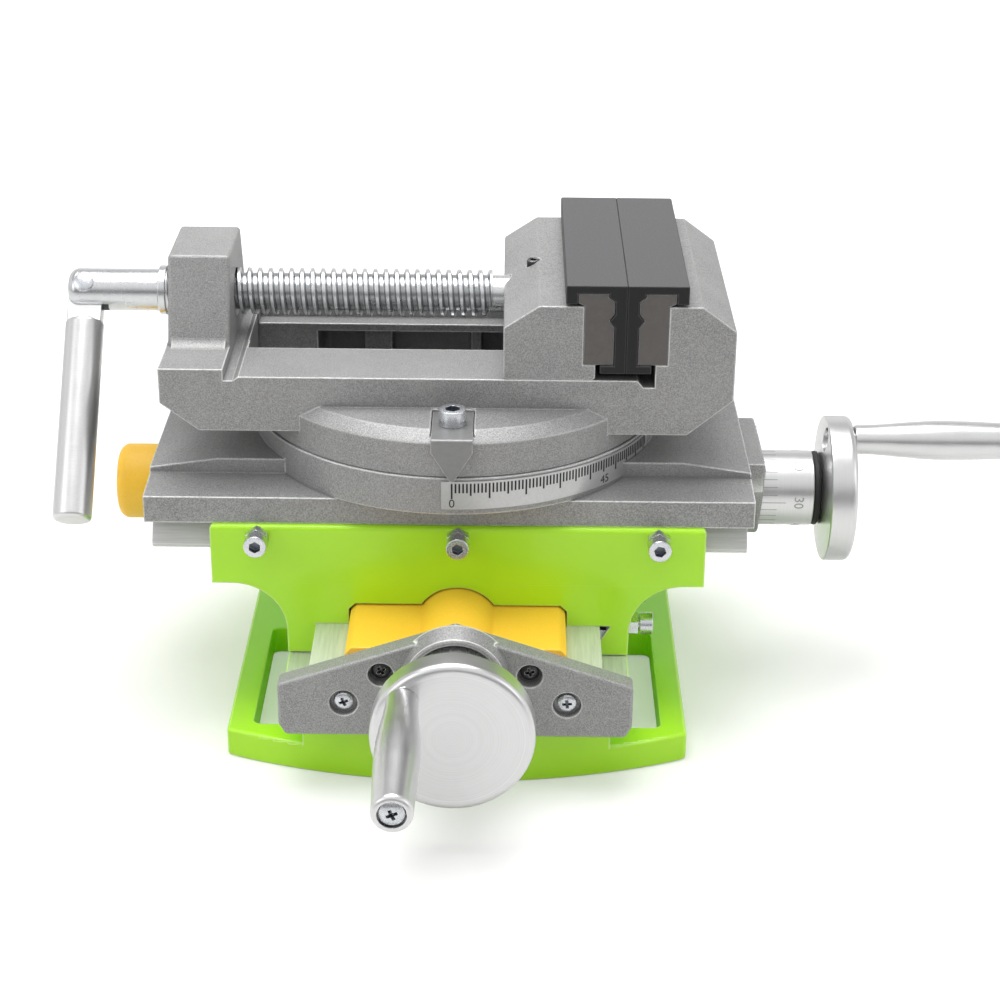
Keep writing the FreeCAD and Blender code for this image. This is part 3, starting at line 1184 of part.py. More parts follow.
def make_jaw_keeper():
    """Flat plate screwed under the jaw's stem; it hooks under the ledges of the bed."""
    z1 = LEDGE_UNDER_Z - KEEPER_GAP
    solid = box(JAW_LEFT_X + 1, JAW_TOE_X - 1, -KEEPER_HALF_Y, KEEPER_HALF_Y, z1 - KEEPER_T, z1)
    solid = round_edges(solid, 3.0, upright)
    cuts = []
    for x in keeper_screw_xs():
        cuts.append(cyl_z(KEEPER_SCREW_R + RUN, x, 0, z1 - KEEPER_T - 1, z1 + 1))
    return solid.cut(cuts)


def make_keeper_screws():
    z1 = LEDGE_UNDER_Z - KEEPER_GAP - KEEPER_T
    tip = CHANNEL_Z + 5
    screws = []
    for x in keeper_screw_xs():
        screws.append(cap_screw(KEEPER_SCREW_R, KEEPER_HEAD_R, KEEPER_HEAD_H, M6_HEX_AF, 2.4,
                                vec(x, 0, tip), vec(0, 0, -1), tip - z1))
    return Part.makeCompound(screws)


def make_jaw_grub_screw():
    z0 = VISE_SCREW_Z + NECK_GROOVE_R + 0.2
    body = cyl_z(GRUB_R, GRUB_X, 0, z0, z0 + GRUB_LONG)
    return body.cut(hexagon(GRUB_R, GRUB_X, 0, z0 + GRUB_LONG, vec(0, 0, -1), 2.0))


def handle_pin_axis():
    a = math.radians(HANDLE_TILT_DEG)
    return vec(0, -math.cos(a), math.sin(a))


def handle_direction():
    a = math.radians(HANDLE_TILT_DEG)
    return vec(0, -math.sin(a), -math.cos(a))


def fork_slab(x0, x1, thick, reach):
    """Slab square to the handle's pin, centred on the screw axis."""
    p = handle_pin_axis()
    d = handle_direction()
    corner = vec(x0, 0, VISE_SCREW_Z) - p * (thick / 2) - d * reach
    face = Part.Face(Part.makePolygon([corner, corner + d * 2 * reach, corner + d * 2 * reach + p * thick,
                                       corner + p * thick, corner]))
    return face.extrude(vec(x1 - x0, 0, 0))


def make_vise_screw():
    """Screw from the neck in the jaw, through the post, to the forked end for the handle."""
    neck_end = JAW_LEFT_X + NECK_DEEP
    thread_end = JAW_LEFT_X - 4.5
    collar = POST_LEFT_X - VISE_COLLAR_GAP
    left = HANDLE_PIN_X - SHAFT_END
    crown = 3.5
    groove0 = GRUB_X - GRUB_R - 0.4
    groove1 = GRUB_X + GRUB_R + 0.4
    body = turned(
        [(left, 0), (left, VISE_SHAFT_R - crown), (left + crown * 0.3, VISE_SHAFT_R - crown * 0.3,
                                                   left + crown, VISE_SHAFT_R),
         (collar - VISE_COLLAR_T, VISE_SHAFT_R), (collar - VISE_COLLAR_T, VISE_COLLAR_R),
         (collar, VISE_COLLAR_R), (collar, VISE_SCREW_R), (thread_end, VISE_SCREW_R), (thread_end, VISE_NECK_R),
         (groove0, VISE_NECK_R), (groove0, NECK_GROOVE_R), (groove1, NECK_GROOVE_R), (groove1, VISE_NECK_R),
         (neck_end, VISE_NECK_R), (neck_end, 0)], vec(0, 0, VISE_SCREW_Z), vec(1, 0, 0), vec(0, 1, 0))
    slot = fork_slab(left - 1, HANDLE_PIN_X + FORK_DEEP, FORK_SLOT, VISE_SHAFT_R + 2)
    p = handle_pin_axis()
    start = vec(HANDLE_PIN_X, 0, VISE_SCREW_Z) - p * (VISE_SHAFT_R + 3)
    return body.cut([slot, Part.makeCylinder(HANDLE_PIN_R + RUN, 2 * VISE_SHAFT_R + 6, start, p)])


def make_handle_pin():
    p = handle_pin_axis()
    half = VISE_SHAFT_R
    side = vec(1, 0, 0)
    flat = math.sqrt(VISE_SHAFT_R ** 2 - RIVET_R ** 2)
    shank = turned([(-half, 0), (-half, HANDLE_PIN_R), (half, HANDLE_PIN_R), (half, 0)],
                   vec(HANDLE_PIN_X, 0, VISE_SCREW_Z), p, side)
    heads = []
    for way in (-1, 1):
        heads.append(turned(
            [(half, 0), (half, RIVET_R), dome(half, RIVET_R, RIVET_H)],
            vec(HANDLE_PIN_X, 0, VISE_SCREW_Z), p * way, side))
    skirt = []
    for way in (-1, 1):
        ring = turned([(flat, HANDLE_PIN_R - 0.1), (flat, RIVET_R), (half, RIVET_R), (half, HANDLE_PIN_R - 0.1)],
                      vec(HANDLE_PIN_X, 0, VISE_SCREW_Z), p * way, side)
        skirt.append(ring.cut(cyl_x(VISE_SHAFT_R + 0.01, 0, VISE_SCREW_Z, HANDLE_PIN_X - 10, HANDLE_PIN_X + 10)))
    return shank.fuse(heads + skirt).removeSplitter()


def make_vise_handle():
    """Round grip with a flat tab that turns on the pin in the screw's fork."""
    p = handle_pin_axis()
    d = handle_direction()
    centre = vec(HANDLE_PIN_X, 0, VISE_SCREW_Z)
    disc = Part.makeCylinder(TAB_HALF_W, TAB_T, centre - p * (TAB_T / 2), p)
    corner = centre - p * (TAB_T / 2) - vec(TAB_HALF_W, 0, 0)
    face = Part.Face(Part.makePolygon([corner, corner + vec(2 * TAB_HALF_W, 0, 0),
                                       corner + vec(2 * TAB_HALF_W, 0, 0) + p * TAB_T, corner + p * TAB_T, corner]))
    tab = face.extrude(d * (HANDLE_GRIP_START + 1))
    a = HANDLE_GRIP_START
    b = a + HANDLE_GRIP_LONG
    edge = 1.4
    grip = turned([(a, 0), (a, HANDLE_GRIP_R - 0.8), (a + 0.8, HANDLE_GRIP_R), (b - edge, HANDLE_GRIP_R),
                   (b - edge * 0.3, HANDLE_GRIP_R - edge * 0.3, b, HANDLE_GRIP_R - edge), (b, 0)],
                  centre, d, vec(1, 0, 0))
    hole = Part.makeCylinder(HANDLE_PIN_R + 0.1, TAB_T + 2, centre - p * (TAB_T / 2 + 1), p)
    return disc.fuse([tab, grip]).cut(hole).removeSplitter()


def y_axis_parts():
    origin = vec(0, Y_RECESS_Y, Y_SCREW_Z)
    axis = vec(0, -1, 0)
    side = vec(1, 0, 0)
    seat = wheel_start() - WHEEL_HUB_T
    outer = wheel_start() + WHEEL_T
    inner = Y_RECESS_Y - PLATE_BACK_Y - FREE
    far = Y_RECESS_Y - (RAIL_END_Y - SCREW_END_GAP)
    return {
        "y_lead_screw": lead_screw(origin, axis, side, seat, far, inner, outer),
        "y_dial": make_dial(origin, axis, side),
        "y_wheel_ring": make_ring(origin, axis, side),
        "y_handwheel": make_wheel(origin, axis, side, Y_CRANK_DEG),
        "y_grip": make_grip(origin, axis, side, Y_CRANK_DEG),
        "y_grip_bolt": make_grip_bolt(origin, axis, side, Y_CRANK_DEG),
    }


def x_axis_parts():
    origin = vec(X_RECESS_X, 0, X_SCREW_Z)
    axis = vec(1, 0, 0)
    side = vec(0, 1, 0)
    seat = wheel_start() - WHEEL_HUB_T
    outer = wheel_start() + WHEEL_T
    inner = SLIDE_X1 - X_RECESS_X - FREE
    far = SLIDE_X0 + SCREW_END_GAP - X_RECESS_X
    return {
        "x_lead_screw": lead_screw(origin, axis, side, seat, far, inner, outer),
        "x_dial": make_dial(origin, axis, side),
        "x_wheel_ring": make_ring(origin, axis, side),
        "x_handwheel": make_wheel(origin, axis, side, X_CRANK_DEG),
        "x_grip": make_grip(origin, axis, side, X_CRANK_DEG),
        "x_grip_bolt": make_grip_bolt(origin, axis, side, X_CRANK_DEG),
    }


def all_parts():
    parts = {
        "base": make_base(),
        "y_screw_cover": make_y_screw_cover(),
        "y_end_plate": make_y_end_plate(),
        "end_plate_screws": make_end_plate_screws(),
        "saddle": make_saddle(),
        "y_nut": make_y_nut(),
        "x_nut": make_x_nut(),
        "x_gib": make_x_gib(),
        "y_gib": make_y_gib(),
        "x_gib_screws": make_x_gib_screws(),
        "y_gib_screws": make_y_gib_screws(),
        "x_gib_locknuts": make_x_gib_locknuts(),
        "y_gib_locknuts": make_y_gib_locknuts(),
        "x_slide": make_x_slide(),
        "x_end_bracket": make_x_end_bracket(),
        "x_bracket_screws": make_x_bracket_screws(),
        "x_end_cap": make_x_end_cap(),
        "degree_scale": make_degree_scale(),
        "swivel_pivot": make_swivel_pivot(),
        "vise_body": make_vise_body(),
        "pointer": make_pointer(),
        "swivel_screws": make_swivel_screws(),
        "rear_washer": make_rear_washer(),
        "swivel_t_nuts": make_swivel_t_nuts(),
        "fixed_jaw_plate": make_jaw_plate(True),
        "fixed_plate_screws": make_plate_screws(True),
        "fixed_jaw_cover": make_jaw_cover(True),
        "movable_jaw": make_movable_jaw(),
        "movable_jaw_plate": make_jaw_plate(False),
        "movable_plate_screws": make_plate_screws(False),
        "movable_jaw_cover": make_jaw_cover(False),
        "jaw_keeper": make_jaw_keeper(),
        "keeper_screws": make_keeper_screws(),
        "jaw_grub_screw": make_jaw_grub_screw(),
        "vise_screw": make_vise_screw(),
        "handle_pin": make_handle_pin(),
        "vise_handle": make_vise_handle(),
    }
    parts.update(y_axis_parts())
    parts.update(x_axis_parts())
    return parts


os.makedirs("parts", exist_ok=True)
for name, shape in all_parts().items():
    shape.exportStep("parts/" + name + ".step")
    print(name, len(shape.Solids), round(shape.Volume), shape.isValid())
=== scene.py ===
# %% [markdown]
# # A cross slide vise, dressed for its photograph
# A cross slide vise is a jaw vise that swivels on two crossed dovetail slides. The machined
# solids already have every size, so this lesson starts from them and gives each piece its
# real surface: cast skin, enamel, turned steel, moulded covers, threads, sockets and scales.

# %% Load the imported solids
import math
import bmesh
import bpy
from mathutils import Matrix, Vector
from mathutils.bvhtree import BVHTree
from mathutils.geometry import area_tri


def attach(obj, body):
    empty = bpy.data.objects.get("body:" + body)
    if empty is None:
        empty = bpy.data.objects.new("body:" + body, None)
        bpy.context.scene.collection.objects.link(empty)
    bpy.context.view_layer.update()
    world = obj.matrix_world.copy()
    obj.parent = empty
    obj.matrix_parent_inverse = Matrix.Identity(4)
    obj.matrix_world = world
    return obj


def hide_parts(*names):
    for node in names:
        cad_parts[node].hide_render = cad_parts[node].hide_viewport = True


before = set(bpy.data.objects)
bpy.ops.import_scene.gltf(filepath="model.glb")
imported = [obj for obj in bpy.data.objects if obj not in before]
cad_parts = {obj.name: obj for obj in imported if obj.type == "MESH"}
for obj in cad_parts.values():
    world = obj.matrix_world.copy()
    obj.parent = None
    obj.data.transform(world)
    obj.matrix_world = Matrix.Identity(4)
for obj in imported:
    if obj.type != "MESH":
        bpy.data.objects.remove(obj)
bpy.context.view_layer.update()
MM = 0.001

# %% [markdown]
# ## Camera
# The photograph was taken from the operator's side, 25 degrees above the bench, with a short
# telephoto lens. The camera is placed by its own axes: right, up and back, which fill the
# columns of its matrix. A small roll of half a degree is part of the picture.

# %% Camera
def aim(pitch_deg, yaw_deg, roll_deg):
    pitch, yaw, roll = (math.radians(a) for a in (pitch_deg, yaw_deg, roll_deg))
    ahead = Vector((math.sin(yaw) * math.cos(pitch), math.cos(yaw) * math.cos(pitch), -math.sin(pitch)))
    level = Vector((math.cos(yaw), -math.sin(yaw), 0))
    above = level.cross(ahead)
    right = level * math.cos(roll) + above * math.sin(roll)
    up = above * math.cos(roll) - level * math.sin(roll)
    return right, up, ahead


PITCH, YAW, ROLL = 24.963, -0.149, 0.550
CAMERA_AT = (0.01728, -0.80330, 0.44214)
LENS = 79.95
right, up, ahead = aim(PITCH, YAW, ROLL)
camera = bpy.data.objects.new("camera", bpy.data.cameras.new("camera"))
bpy.context.scene.collection.objects.link(camera)
camera.matrix_world = Matrix((
    (right.x, up.x, -ahead.x, CAMERA_AT[0]),
    (right.y, up.y, -ahead.y, CAMERA_AT[1]),
    (right.z, up.z, -ahead.z, CAMERA_AT[2]),
    (0, 0, 0, 1)))
camera.data.sensor_width = 36.0
camera.data.lens = LENS
camera.data.clip_end = 50.0
bpy.context.scene.camera = camera
print("lens", LENS, "mm")

# %% [markdown]
# ## Floor and light
# A product photographer uses a white sweep and large soft boxes. The floor is lit white paper
# with a little light of its own that only the camera sees, and which grows away from the vise,
# so that the open floor is plain white and the shadow under the casting still shows.

# %% Floor
def tree_of(material):
    material.use_nodes = True
    return material.node_tree


def add(tree, kind, **values):
    """A new node with its settings, or the inputs of those names, set."""
    node = tree.nodes.new(kind)
    for name, value in values.items():
        if hasattr(node, name):
            setattr(node, name, value)
        else:
            node.inputs[name.replace("_", " ")].default_value = value
    return node


def seen_glow(tree, near, far):
    """Strength of a glow for camera rays only: weak by the vise, stronger out on the open floor."""
    coords = add(tree, "ShaderNodeTexCoord")
    distance = add(tree, "ShaderNodeVectorMath", operation="LENGTH")
    tree.links.new(coords.outputs["Object"], distance.inputs[0])
    rise = add(tree, "ShaderNodeMapRange")
    tree.links.new(distance.outputs["Value"], rise.inputs["Value"])
    for socket, value in (("From Min", 0.30), ("From Max", 1.10), ("To Min", near), ("To Max", far)):
        rise.inputs[socket].default_value = value
    path = add(tree, "ShaderNodeLightPath")
    strength = add(tree, "ShaderNodeMath", operation="MULTIPLY")
    tree.links.new(path.outputs["Is Camera Ray"], strength.inputs[0])
    tree.links.new(rise.outputs[0], strength.inputs[1])
    return strength.outputs[0]


FLOOR_HALF, FLOOR_DROP = 20.0, 0.0003
floor_paper = bpy.data.materials.new("floor_paper")
paper = tree_of(floor_paper)
paper_skin = paper.nodes["Principled BSDF"]
paper_skin.inputs["Base Color"].default_value = (0.71, 0.705, 0.70, 1)
paper_skin.inputs["Roughness"].default_value = 0.9
glow = add(paper, "ShaderNodeEmission")
paper.links.new(seen_glow(paper, 0.30, 0.62), glow.inputs["Strength"])
lit_paper = add(paper, "ShaderNodeAddShader")
paper.links.new(paper_skin.outputs[0], lit_paper.inputs[0])
paper.links.new(glow.outputs[0], lit_paper.inputs[1])
paper.links.new(lit_paper.outputs[0], paper.nodes["Material Output"].inputs[0])

floor_mesh = bmesh.new()
bmesh.ops.create_grid(floor_mesh, x_segments=2, y_segments=2, size=FLOOR_HALF)
bmesh.ops.translate(floor_mesh, verts=floor_mesh.verts, vec=(0, 0, -FLOOR_DROP))
floor_data = bpy.data.meshes.new("floor")
floor_mesh.to_mesh(floor_data)
floor = bpy.data.objects.new("floor", floor_data)
floor.data.materials.append(floor_paper)
bpy.context.scene.collection.objects.link(floor)

# %% [markdown]
# The room round the sweep is what steel shows. Behind the vise it is a white sweep with a
# greyer ceiling; on the operator's side the ceiling light comes forward and the room below it
# is dark. That dark band is what draws the streaks along every turned piece. Two ramps over
# height are blended from back to front. The camera itself sees plain white in place of the room.

# %% World
def height_ramp(tree, height, stops):
    ramp = add(tree, "ShaderNodeValToRGB")
    tree.links.new(height, ramp.inputs[0])
    ends = ramp.color_ramp.elements
    ends[0].position, ends[1].position = stops[0][0], stops[-1][0]
    ends[0].color = (stops[0][1],) * 3 + (1,)
    ends[1].color = (stops[-1][1],) * 3 + (1,)
    for position, level in stops[1:-1]:
        ends.new(position).color = (level, level, level, 1)
    return ramp.outputs[0]


world = bpy.data.worlds.new("studio")
bpy.context.scene.world = world
world.use_nodes = True
room = world.node_tree
direction = add(room, "ShaderNodeTexCoord")
split = add(room, "ShaderNodeSeparateXYZ")
room.links.new(direction.outputs["Generated"], split.inputs[0])
BEHIND = [(0.0, 1.0), (0.38, 1.0), (0.55, 0.55), (0.80, 0.60), (1.0, 0.95)]
BEFORE = [(0.0, 0.20), (0.18, 0.20), (0.42, 0.85), (0.60, 1.0), (1.0, 0.95)]
behind = height_ramp(room, split.outputs["Z"], BEHIND)
before = height_ramp(room, split.outputs["Z"], BEFORE)
to_front = add(room, "ShaderNodeMapRange")
room.links.new(split.outputs["Y"], to_front.inputs["Value"])
to_front.inputs["From Min"].default_value = 0.1
to_front.inputs["From Max"].default_value = -0.5
blended = add(room, "ShaderNodeMix", data_type="RGBA")
room.links.new(to_front.outputs[0], blended.inputs[0])
room.links.new(behind, blended.inputs[6])
room.links.new(before, blended.inputs[7])
studio = room.nodes["Background"]
room.links.new(blended.outputs[2], studio.inputs[0])
studio.inputs[1].default_value = 0.90
white = add(room, "ShaderNodeBackground")
white.inputs[0].default_value = (1, 1, 1, 1)
seen = add(room, "ShaderNodeLightPath")
pick = add(room, "ShaderNodeMixShader")
room.links.new(seen.outputs["Is Camera Ray"], pick.inputs[0])
room.links.new(studio.outputs[0], pick.inputs[1])
room.links.new(white.outputs[0], pick.inputs[2])
room.links.new(pick.outputs[0], room.nodes["World Output"].inputs[0])

# %% [markdown]
# One large soft box hangs over the bench and gives the shadow under the castings. Two weak
# ones at the sides open up the shaded flanks.

# %% Soft boxes
def soft_box(name, place, target, size, watts):
    lamp = bpy.data.lights.new(name, "AREA")
    lamp.shape = "RECTANGLE"
    lamp.size, lamp.size_y = size
    lamp.energy = watts
    box = bpy.data.objects.new(name, lamp)
    box.location = place
    box.rotation_euler = (Vector(target) - Vector(place)).to_track_quat("-Z", "Y").to_euler()
    bpy.context.scene.collection.objects.link(box)


soft_box("top_box", (-0.10, 0.10, 1.25), (0, 0, 0.08), (1.0, 0.8), 14.0)
soft_box("left_box", (-1.15, -0.75, 0.75), (0, 0, 0.1), (0.9, 0.9), 3.0)
soft_box("right_box", (1.25, -0.45, 0.60), (0, 0, 0.1), (0.8, 0.9), 2.0)
bpy.context.scene.view_settings.view_transform = "Standard"

# %% [markdown]
# ## Surfaces
# Every finish is mixed from a few shader nodes that read Object coordinates in metres, so a
# grain of half a millimetre has a noise scale near 2000. A Bevel node bends the normals within
# a millimetre of each edge, which is what a real edge does to light, and where it differs from
# the face's own normal the colour is lifted: partly wear, as handling polishes edges first, and
# partly a painted highlight along the edge.

# %% Shader helpers
def surface(name, color, roughness, metallic=0.0):
    material = bpy.data.materials.new(name)
    tree = tree_of(material)
    skin = tree.nodes["Principled BSDF"]
    skin.inputs["Base Color"].default_value = (*color, 1)
    skin.inputs["Roughness"].default_value = roughness
    skin.inputs["Metallic"].default_value = metallic
    return material, tree, skin


def here(tree, centre=(0, 0, 0), stretch=(1, 1, 1)):
    """Object coordinates, moved to a centre in metres and stretched."""
    coords = add(tree, "ShaderNodeTexCoord")
    mapping = add(tree, "ShaderNodeMapping")
    mapping.inputs["Scale"].default_value = stretch
    mapping.inputs["Location"].default_value = [-c * s for c, s in zip(centre, stretch)]
    tree.links.new(coords.outputs["Object"], mapping.inputs["Vector"])
    return mapping.outputs[0]


def grain(tree, where, scale, detail):
    noise = add(tree, "ShaderNodeTexNoise", Scale=scale, Detail=detail, Roughness=0.6)
    tree.links.new(where, noise.inputs["Vector"])
    return noise.outputs["Fac"]


def spread(tree, value, low, high, out_low, out_high):
    mapped = add(tree, "ShaderNodeMapRange")
    tree.links.new(value, mapped.inputs["Value"])
    mapped.inputs["From Min"].default_value = low
    mapped.inputs["From Max"].default_value = high
    mapped.inputs["To Min"].default_value = out_low
    mapped.inputs["To Max"].default_value = out_high
    return mapped.outputs[0]


def mixed(tree, factor, first, second):
    mix = add(tree, "ShaderNodeMix", data_type="RGBA")
    tree.links.new(factor, mix.inputs[0])
    for socket, value in ((6, first), (7, second)):
        if isinstance(value, tuple):
            mix.inputs[socket].default_value = (*value, 1)
        else:
            tree.links.new(value, mix.inputs[socket])
    return mix.outputs[2]


def product(tree, first, second):
    times = add(tree, "ShaderNodeMath", operation="MULTIPLY")
    tree.links.new(first, times.inputs[0])
    tree.links.new(second, times.inputs[1])
    return times.outputs[0]


def raised(tree, height, strength, distance, normal=None):
    bump = add(tree, "ShaderNodeBump", Strength=strength, Distance=distance)
    tree.links.new(height, bump.inputs["Height"])
    if normal is not None:
        tree.links.new(normal, bump.inputs["Normal"])
    return bump.outputs[0]


def edges(tree, radius):
    """Rounded normal at the edges and a mask that is one on them, for painted highlight and wear."""
    bevel = add(tree, "ShaderNodeBevel", samples=6)
    bevel.inputs["Radius"].default_value = radius
    plain = add(tree, "ShaderNodeNewGeometry")
    dot = add(tree, "ShaderNodeVectorMath", operation="DOT_PRODUCT")
    tree.links.new(bevel.outputs[0], dot.inputs[0])
    tree.links.new(plain.outputs["True Normal"], dot.inputs[1])
    mask = spread(tree, dot.outputs["Value"], 0.992, 0.94, 0.0, 1.0)
    return bevel.outputs[0], mask


# %% [markdown]
# ### Cast and milled metal
# The grey castings are shot blasted aluminium: a matt grey with a fine, even grain and a thin
# bright line on every outer edge, partly wear from handling and partly a painted highlight,
# while inner corners are darkened with painted shade. An Ambient Occlusion node tells the two
# apart. Fine noise drives colour, roughness and bump together. Milled faces of the same metal
# are lighter and carry the cutter's long parallel marks, which a noise stretched along one axis gives.

# %% Cast and milled metal
def cast_skin(name, color, metallic, wear_and_highlight_color):
    material, tree, skin = surface(name, color, 0.55, metallic)
    where = here(tree)
    fine = grain(tree, where, 2300, 3.0)
    coarse = grain(tree, where, 700, 2.0)
    broad = grain(tree, where, 40, 3.0)
    dark = tuple(c * 0.60 for c in color)
    light = tuple(min(1.0, c * 1.44) for c in color)
    speckle = mixed(tree, spread(tree, fine, 0.32, 0.68, 0, 1), dark, light)
    mottled = mixed(tree, spread(tree, coarse, 0.35, 0.65, 0, 0.12), speckle, dark)
    cloudy = mixed(tree, spread(tree, broad, 0.35, 0.70, 0, 0.28), mottled, light)
    normal, wear_and_highlight = edges(tree, 0.0009)
    open_air = add(tree, "ShaderNodeAmbientOcclusion", samples=4, only_local=True)
    open_air.inputs["Distance"].default_value = 0.0014
    # Painted shade: the colour goes to the dark tone in inner corners, which the AO node finds.
    painted_corner_shade = mixed(tree, spread(tree, open_air.outputs["AO"], 0.45, 0.95, 1, 0), cloudy, dark)
    # Only outer edges get the painted highlight and wear.
    outer = product(tree, wear_and_highlight, spread(tree, open_air.outputs["AO"], 0.82, 0.98, 0, 1))
    patchy = product(tree, outer, spread(tree, coarse, 0.30, 0.50, 0.60, 1.0))
    tree.links.new(mixed(tree, patchy, painted_corner_shade, wear_and_highlight_color), skin.inputs["Base Color"])
    tree.links.new(spread(tree, fine, 0.3, 0.7, 0.58, 0.40), skin.inputs["Roughness"])
    tree.links.new(raised(tree, fine, 0.40, 0.00014, normal), skin.inputs["Normal"])
    return material


def milled_skin(name, color, stretch):
    material, tree, skin = surface(name, color, 0.38, 0.5)
    lines = grain(tree, here(tree, stretch=stretch), 900, 2.0)
    fine = grain(tree, here(tree), 1800, 2.0)
    dark = tuple(c * 0.92 for c in color)
    light = tuple(min(1.0, c * 1.07) for c in color)
    tone = mixed(tree, spread(tree, lines, 0.35, 0.65, 0, 1), dark, light)
    normal, wear_and_highlight = edges(tree, 0.0004)
    # Edges get a painted highlight, with some wear, in a light grey.
    tree.links.new(mixed(tree, wear_and_highlight, tone, (0.9, 0.9, 0.9)), skin.inputs["Base Color"])
    tree.links.new(spread(tree, fine, 0.3, 0.7, 0.46, 0.32), skin.inputs["Roughness"])
    tree.links.new(raised(tree, lines, 0.12, 0.0001, normal), skin.inputs["Normal"])
    return material


CAST_GREY = cast_skin("cast_grey", (0.305, 0.305, 0.303), 0.40, (1.0, 1.0, 0.99))
MILLED_ALONG_X = milled_skin("milled_along_x", (0.62, 0.62, 0.61), (0.05, 1, 1))
MILLED_ALONG_Y = milled_skin("milled_along_y", (0.72, 0.725, 0.71), (1, 0.05, 1))
BRONZE = cast_skin("bronze_nut", (0.48, 0.33, 0.15), 0.9, (0.75, 0.55, 0.3))

# %% [markdown]
# ### Enamel, moulded plastic and rubber
# The green enamel is smooth and glossy, with the slight waviness of sprayed paint over a
# casting. The amber covers are moulded plastic with a satin, finely pebbled face. The jaw
# covers are a dark satin plastic, greyer on upward faces, partly rubbed by work sliding over
# them and partly a painted sheen of the light from above, and the rubber rings are matt black.

# %% Enamel, plastic and rubber
def enamel(name, color, wear_and_highlight_color):
    material, tree, skin = surface(name, color, 0.33)
    waves = grain(tree, here(tree), 210, 2.0)
    broad = grain(tree, here(tree), 18, 1.0)
    tone = mixed(tree, spread(tree, broad, 0.3, 0.7, 0, 1), tuple(c * 0.95 for c in color), color)
    normal, wear_and_highlight = edges(tree, 0.0009)
    # Edges get a painted highlight, with some wear, in a lighter green.
    painted = mixed(tree, spread(tree, wear_and_highlight, 0, 1, 0, 0.75), tone, wear_and_highlight_color)
    tree.links.new(painted, skin.inputs["Base Color"])
    tree.links.new(spread(tree, broad, 0.3, 0.7, 0.38, 0.30), skin.inputs["Roughness"])
    tree.links.new(raised(tree, waves, 0.10, 0.0003, normal), skin.inputs["Normal"])
    skin.inputs["Coat Weight"].default_value = 0.35
    skin.inputs["Coat Roughness"].default_value = 0.12
    return material


def moulded(name, color, roughness, pebble, wear_and_highlight_lift, top_sheen_and_rub_color=None):
    material, tree, skin = surface(name, color, roughness)
    fine = grain(tree, here(tree), pebble, 2.0)
    normal, wear_and_highlight = edges(tree, 0.0005)
    tone = mixed(tree, spread(tree, fine, 0.3, 0.7, 0, 1), tuple(c * 0.93 for c in color), color)
    # Upward faces are lighter: partly rubbed by work, partly a painted sheen of the top light.
    if top_sheen_and_rub_color:
        facing = add(tree, "ShaderNodeNewGeometry")
        split_up = add(tree, "ShaderNodeSeparateXYZ")
        tree.links.new(facing.outputs["True Normal"], split_up.inputs[0])
        pebbles = spread(tree, fine, 0.3, 0.7, 0, 1)
        rubbed_and_top_sheen = mixed(tree, pebbles, tuple(c * 0.85 for c in top_sheen_and_rub_color), top_sheen_and_rub_color)
        tone = mixed(tree, spread(tree, split_up.outputs["Z"], 0.7, 0.95, 0, 1), tone, rubbed_and_top_sheen)
    # Edges get a painted highlight, with some wear, a little lighter than the plastic.
    light = tuple(min(1.0, c + wear_and_highlight_lift) for c in color)
    tree.links.new(mixed(tree, wear_and_highlight, tone, light), skin.inputs["Base Color"])
    gloss = spread(tree, fine, 0.3, 0.7, roughness + 0.05, roughness - 0.03)
    tree.links.new(gloss, skin.inputs["Roughness"])
    tree.links.new(raised(tree, fine, 0.15, 0.0001, normal), skin.inputs["Normal"])
    return material


GREEN = enamel("green_enamel", (0.44, 0.87, 0.014), (0.85, 1.0, 0.52))
AMBER = moulded("amber_moulding", (1.0, 0.59, 0.045), 0.42, 1400, 0.05)
# The last colour is the jaw covers' lighter top: rubbing and a painted sheen.
DARK = moulded("dark_jaw_cover", (0.013, 0.0135, 0.015), 0.38, 1500, 0.07, (0.088, 0.088, 0.091))
DARK.node_tree.nodes["Principled BSDF"].inputs["IOR"].default_value = 1.36
RUBBER_AND_SHADE = moulded("black_rubber", (0.012, 0.012, 0.013), 0.6, 3000, 0.02)
# The same matt black is also painted shade inside the grub screw's socket.

# %% [markdown]
# ### Turned and plated steel
# A lathe leaves rings round the axis, so the marks on a turned piece depend only on the
# distance from its axis on a face, and on the place along the axis on a barrel. The object's
# own coordinates, moved to the piece's axis, give both: their length across the axis is the
# radius. Zinc plating adds a soft cloudiness.

# %% Turned steel
# Colour of the painted highlight, with some wear, on the edges of turned and plated steel.
EDGE_WEAR_AND_HIGHLIGHT = (0.95, 0.95, 0.95)


